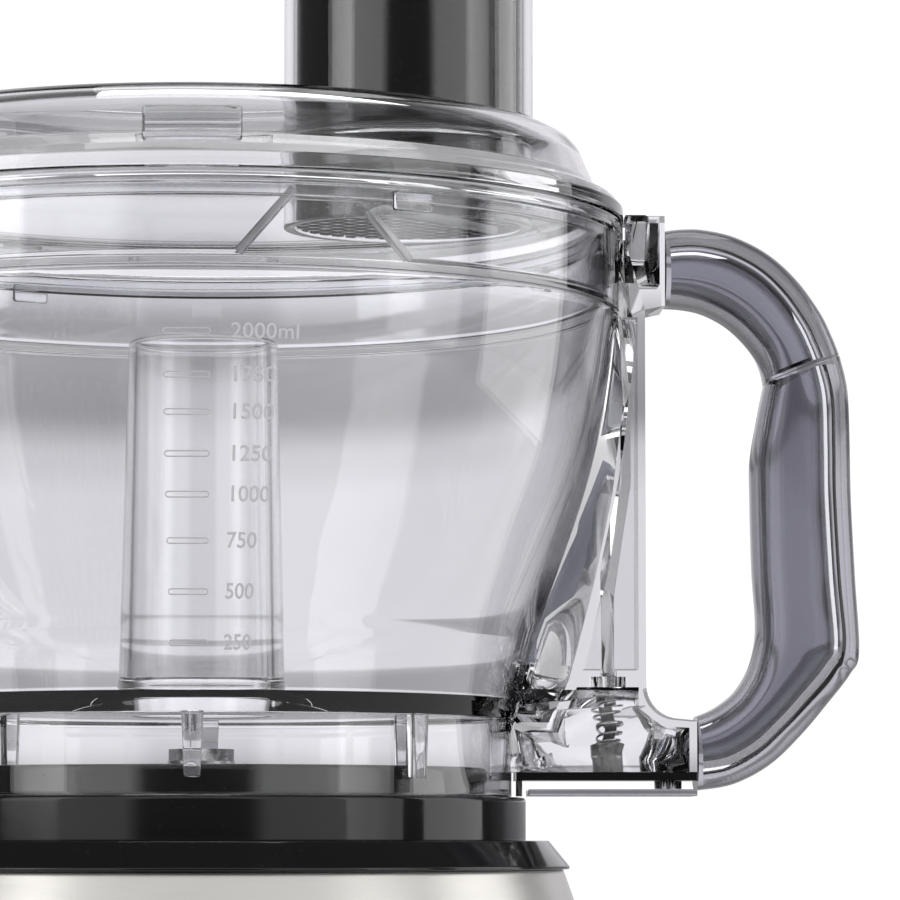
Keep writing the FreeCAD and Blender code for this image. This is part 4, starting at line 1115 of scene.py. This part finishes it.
deck_outline = [
    (50.0, DECK, 0.3), (86.2, DECK, 0.7), (91.3, DECK - 6.2, 0.5), (91.3, DECK - 7.0, 0.3),
    (88.2, DECK - 7.0, 0.3), (88.2, DECK - 13.4, 0.4), (86.2, DECK - 13.4, 0.4),
    (86.2, DECK - 3.2, 0.5), (50.0, DECK - 3.2, 0.3)]
deck = turned("black_deck", rounded(deck_outline))
finish(deck, GLOSS_BLACK, "base", "black_gloss", "top_deck")
print("collar and deck:", len(seat.data.polygons) + len(deck.data.polygons), "faces")


# %% [markdown]
# ### Steel housing
# The flare is an arc that stands upright at the foot, so one formula gives every radius. The
# two round openings, for the dial's switch and the cord's bush, are cut after turning.

# %% Housing shell with its two openings
low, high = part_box("motor_housing")
HOUSE_LOW, HOUSE_HIGH = low.z / MM, high.z / MM
HOUSE_FOOT, HOUSE_TOP, SHEET = high.x / MM, 89.8, 0.8
rise = HOUSE_HIGH - HOUSE_LOW
bend = ((HOUSE_FOOT - HOUSE_TOP) ** 2 + rise ** 2) / (2 * (HOUSE_FOOT - HOUSE_TOP))


def housing_radius(height):
    """Outside radius of the flared shell: an arc that is upright at its foot."""
    return HOUSE_FOOT - bend + math.sqrt(bend ** 2 - (height - HOUSE_LOW) ** 2)


levels = [HOUSE_LOW + rise * i / 40 for i in range(41)]
shell_outline = ([Vector((housing_radius(z), z)) for z in levels]
                 + [Vector((housing_radius(z) - SHEET, z)) for z in reversed(levels)])
housing = turned("steel_housing", shell_outline, base=0.0)


def boring(radius, y0, y1, x, z, around=64):
    """A round cutter along Y, in mm."""
    work = bmesh.new()
    bmesh.ops.create_cone(work, cap_ends=True, segments=around, radius1=radius * MM,
                          radius2=radius * MM, depth=(y1 - y0) * MM)
    for v in work.verts:
        v.co = Vector((v.co.x + x * MM, v.co.z + (y0 + y1) / 2 * MM, v.co.y + z * MM))
    bmesh.ops.recalc_face_normals(work, faces=work.faces)
    return link(bpy.data.objects.new("boring", mesh_from(work, "boring")))


cut_away(housing, boring(19.0, -130.0, -80.0, 0.0, 70.0), 30)
cut_away(housing, boring(7.0, 80.0, 130.0, 0.0, 34.0), 30)
finish(housing, BRUSHED, "base", "brushed_steel", "motor_housing")
print("housing foot", round(HOUSE_FOOT, 1), "mm, top", HOUSE_TOP, "mm")


# %% [markdown]
# ## Room, lamps and camera
# A large pale floor under a plain studio. Clear plastic has hardly any look of its own and
# shows the room, so most of the work is in what stands round the object.

# %% Floor
def pale_floor():
    mesh = bpy.data.meshes.new("floor")
    r = 3.0
    mesh.from_pydata([(-r, -r, 0), (r, -r, 0), (r, r, 0), (-r, r, 0)], [], [(0, 1, 2, 3)])
    mesh.materials.append(start_material("pale_floor", Roughness=0.6,
                                         Base_Color=(0.86, 0.86, 0.86))[0])
    piece = link(bpy.data.objects.new("floor", mesh))


pale_floor()
print("floor laid")


# %% [markdown]
# ### Surround
# Round the object the room is bright behind, dark at both sides, bright again towards the front
# and dark where the viewer stands, which gives the steel and the collar their dark bands. The
# backdrop also changes with height: darker at the floor and in one band higher up, because
# glassware is lit against a backdrop with a dark strip to bring out its edges. The directions
# are fixed in the room. Seen directly, the background is plain white.

# %% Surround
def surround():
    world = bpy.data.worlds.new("studio")
    bpy.context.scene.world = world
    world.use_nodes = True
    tree = world.node_tree
    tree.nodes.clear()
    place = node(tree, "ShaderNodeTexCoord")
    parts = node(tree, "ShaderNodeSeparateXYZ")
    wire(tree, place.outputs["Generated"], parts.inputs[0])

    def ramp(value, low, high, stops, tint=(1.0, 1.0, 1.0)):
        """Tinted brightness along a direction's component, as (component, brightness) stops."""
        spread = node(tree, "ShaderNodeMapRange")
        spread.inputs["From Min"].default_value = low
        spread.inputs["From Max"].default_value = high
        wire(tree, value, spread.inputs["Value"])
        made = node(tree, "ShaderNodeValToRGB")
        made.color_ramp.interpolation = "EASE"
        bands = made.color_ramp.elements
        while len(bands) < len(stops):
            bands.new(0.5)
        for band, (at, level) in zip(bands, stops):
            band.position = (at - low) / (high - low)
            band.color = (*(level * part for part in tint), 1.0)
        wire(tree, spread.outputs["Result"], made.inputs[0])
        return made.outputs["Color"]

    round_about = ramp(parts.outputs["Y"], -1.0, 1.0, [
        (-1.0, 0.06), (-0.955, 0.08), (-0.90, 0.85), (-0.62, 0.95), (-0.45, 0.55), (-0.30, 0.08),
        (0.50, 0.08), (0.66, 0.30), (0.80, 0.92), (1.0, 1.0)])
    upward = ramp(parts.outputs["Z"], 0.0, 0.25, [
        (0.0, 0.36), (0.012, 0.44), (0.021, 0.80), (0.074, 0.79), (0.084, 0.68), (0.094, 0.34),
        (0.112, 0.42), (0.122, 0.90), (0.25, 1.0)], tint=(1.0, 0.985, 1.03))
    both = node(tree, "ShaderNodeMix", data_type="RGBA", blend_type="MULTIPLY")
    wire(tree, maths(tree, "GREATER_THAN", parts.outputs["Y"], 0.2), both.inputs["Factor"])
    wire(tree, round_about, both.inputs[6])
    wire(tree, upward, both.inputs[7])
    lit = node(tree, "ShaderNodeBackground")
    wire(tree, both.outputs[2], lit.inputs["Color"])
    lit.inputs["Strength"].default_value = 1.0
    seen = node(tree, "ShaderNodeBackground")
    seen.inputs["Color"].default_value = (1, 1, 1, 1)
    seen.inputs["Strength"].default_value = 1.05
    eye = node(tree, "ShaderNodeLightPath")
    mix = node(tree, "ShaderNodeMixShader")
    wire(tree, eye.outputs["Is Camera Ray"], mix.inputs[0])
    wire(tree, lit.outputs[0], mix.inputs[1])
    wire(tree, seen.outputs[0], mix.inputs[2])
    out = node(tree, "ShaderNodeOutputWorld")
    wire(tree, mix.outputs[0], out.inputs[0])


surround()
print("surround lit")


# %% [markdown]
# ### Lamps
# Large weak lamps make broad soft highlights. Small strong ones would burn hard white bars into
# the clear wall.

# %% Lamps
def softbox(name, place, aim, width, height, power):
    lamp = bpy.data.lights.new(name, "AREA")
    lamp.shape = "RECTANGLE"
    lamp.size, lamp.size_y = width, height
    lamp.energy = power
    holder = link(bpy.data.objects.new(name, lamp))
    holder.location = place
    holder.rotation_euler = (Vector(aim) - Vector(place)).to_track_quat("-Z", "Y").to_euler()


MIDDLE = (0.03, 0.0, 0.2)
softbox("key_left", (-1.5, -0.9, 0.9), MIDDLE, 0.8, 1.6, 5.0)
softbox("fill_right", (1.6, -0.8, 0.8), MIDDLE, 0.8, 1.6, 4.0)
softbox("side_strip", (1.5, 0.25, 0.45), MIDDLE, 0.9, 1.4, 6.0)
softbox("top", (0.1, 0.3, 1.8), MIDDLE, 1.0, 1.0, 7.0)
print(len(bpy.data.lights), "lamps")


# %% [markdown]
# ### Camera
# The eye is level with the black deck and looks slightly up, so the bowl's floor is seen from
# below as a thin dark line. A long lens keeps the rims nearly flat. Light crosses many walls of
# clear plastic, and too few bounces would turn them black.

# %% Camera
def aim_camera():
    lens = bpy.data.cameras.new("camera")
    lens.lens = 180.7
    lens.sensor_width = 36.0
    lens.clip_end = 50.0
    holder = link(bpy.data.objects.new("camera", lens))
    eye_level = FOOT_Z - 9.3 * MM
    holder.location = (0.032, -1.125, eye_level)
    target = Vector((0.06175, 0.0, eye_level + 0.096))
    holder.rotation_euler = (target - holder.location).to_track_quat("-Z", "Y").to_euler()
    bpy.context.scene.camera = holder


aim_camera()
bpy.context.scene.view_settings.view_transform = "Standard"
bpy.context.scene.cycles.max_bounces = 20
bpy.context.scene.cycles.transmission_bounces = 20
print("camera level with", round(bpy.context.scene.camera.location.z / MM, 1), "mm")
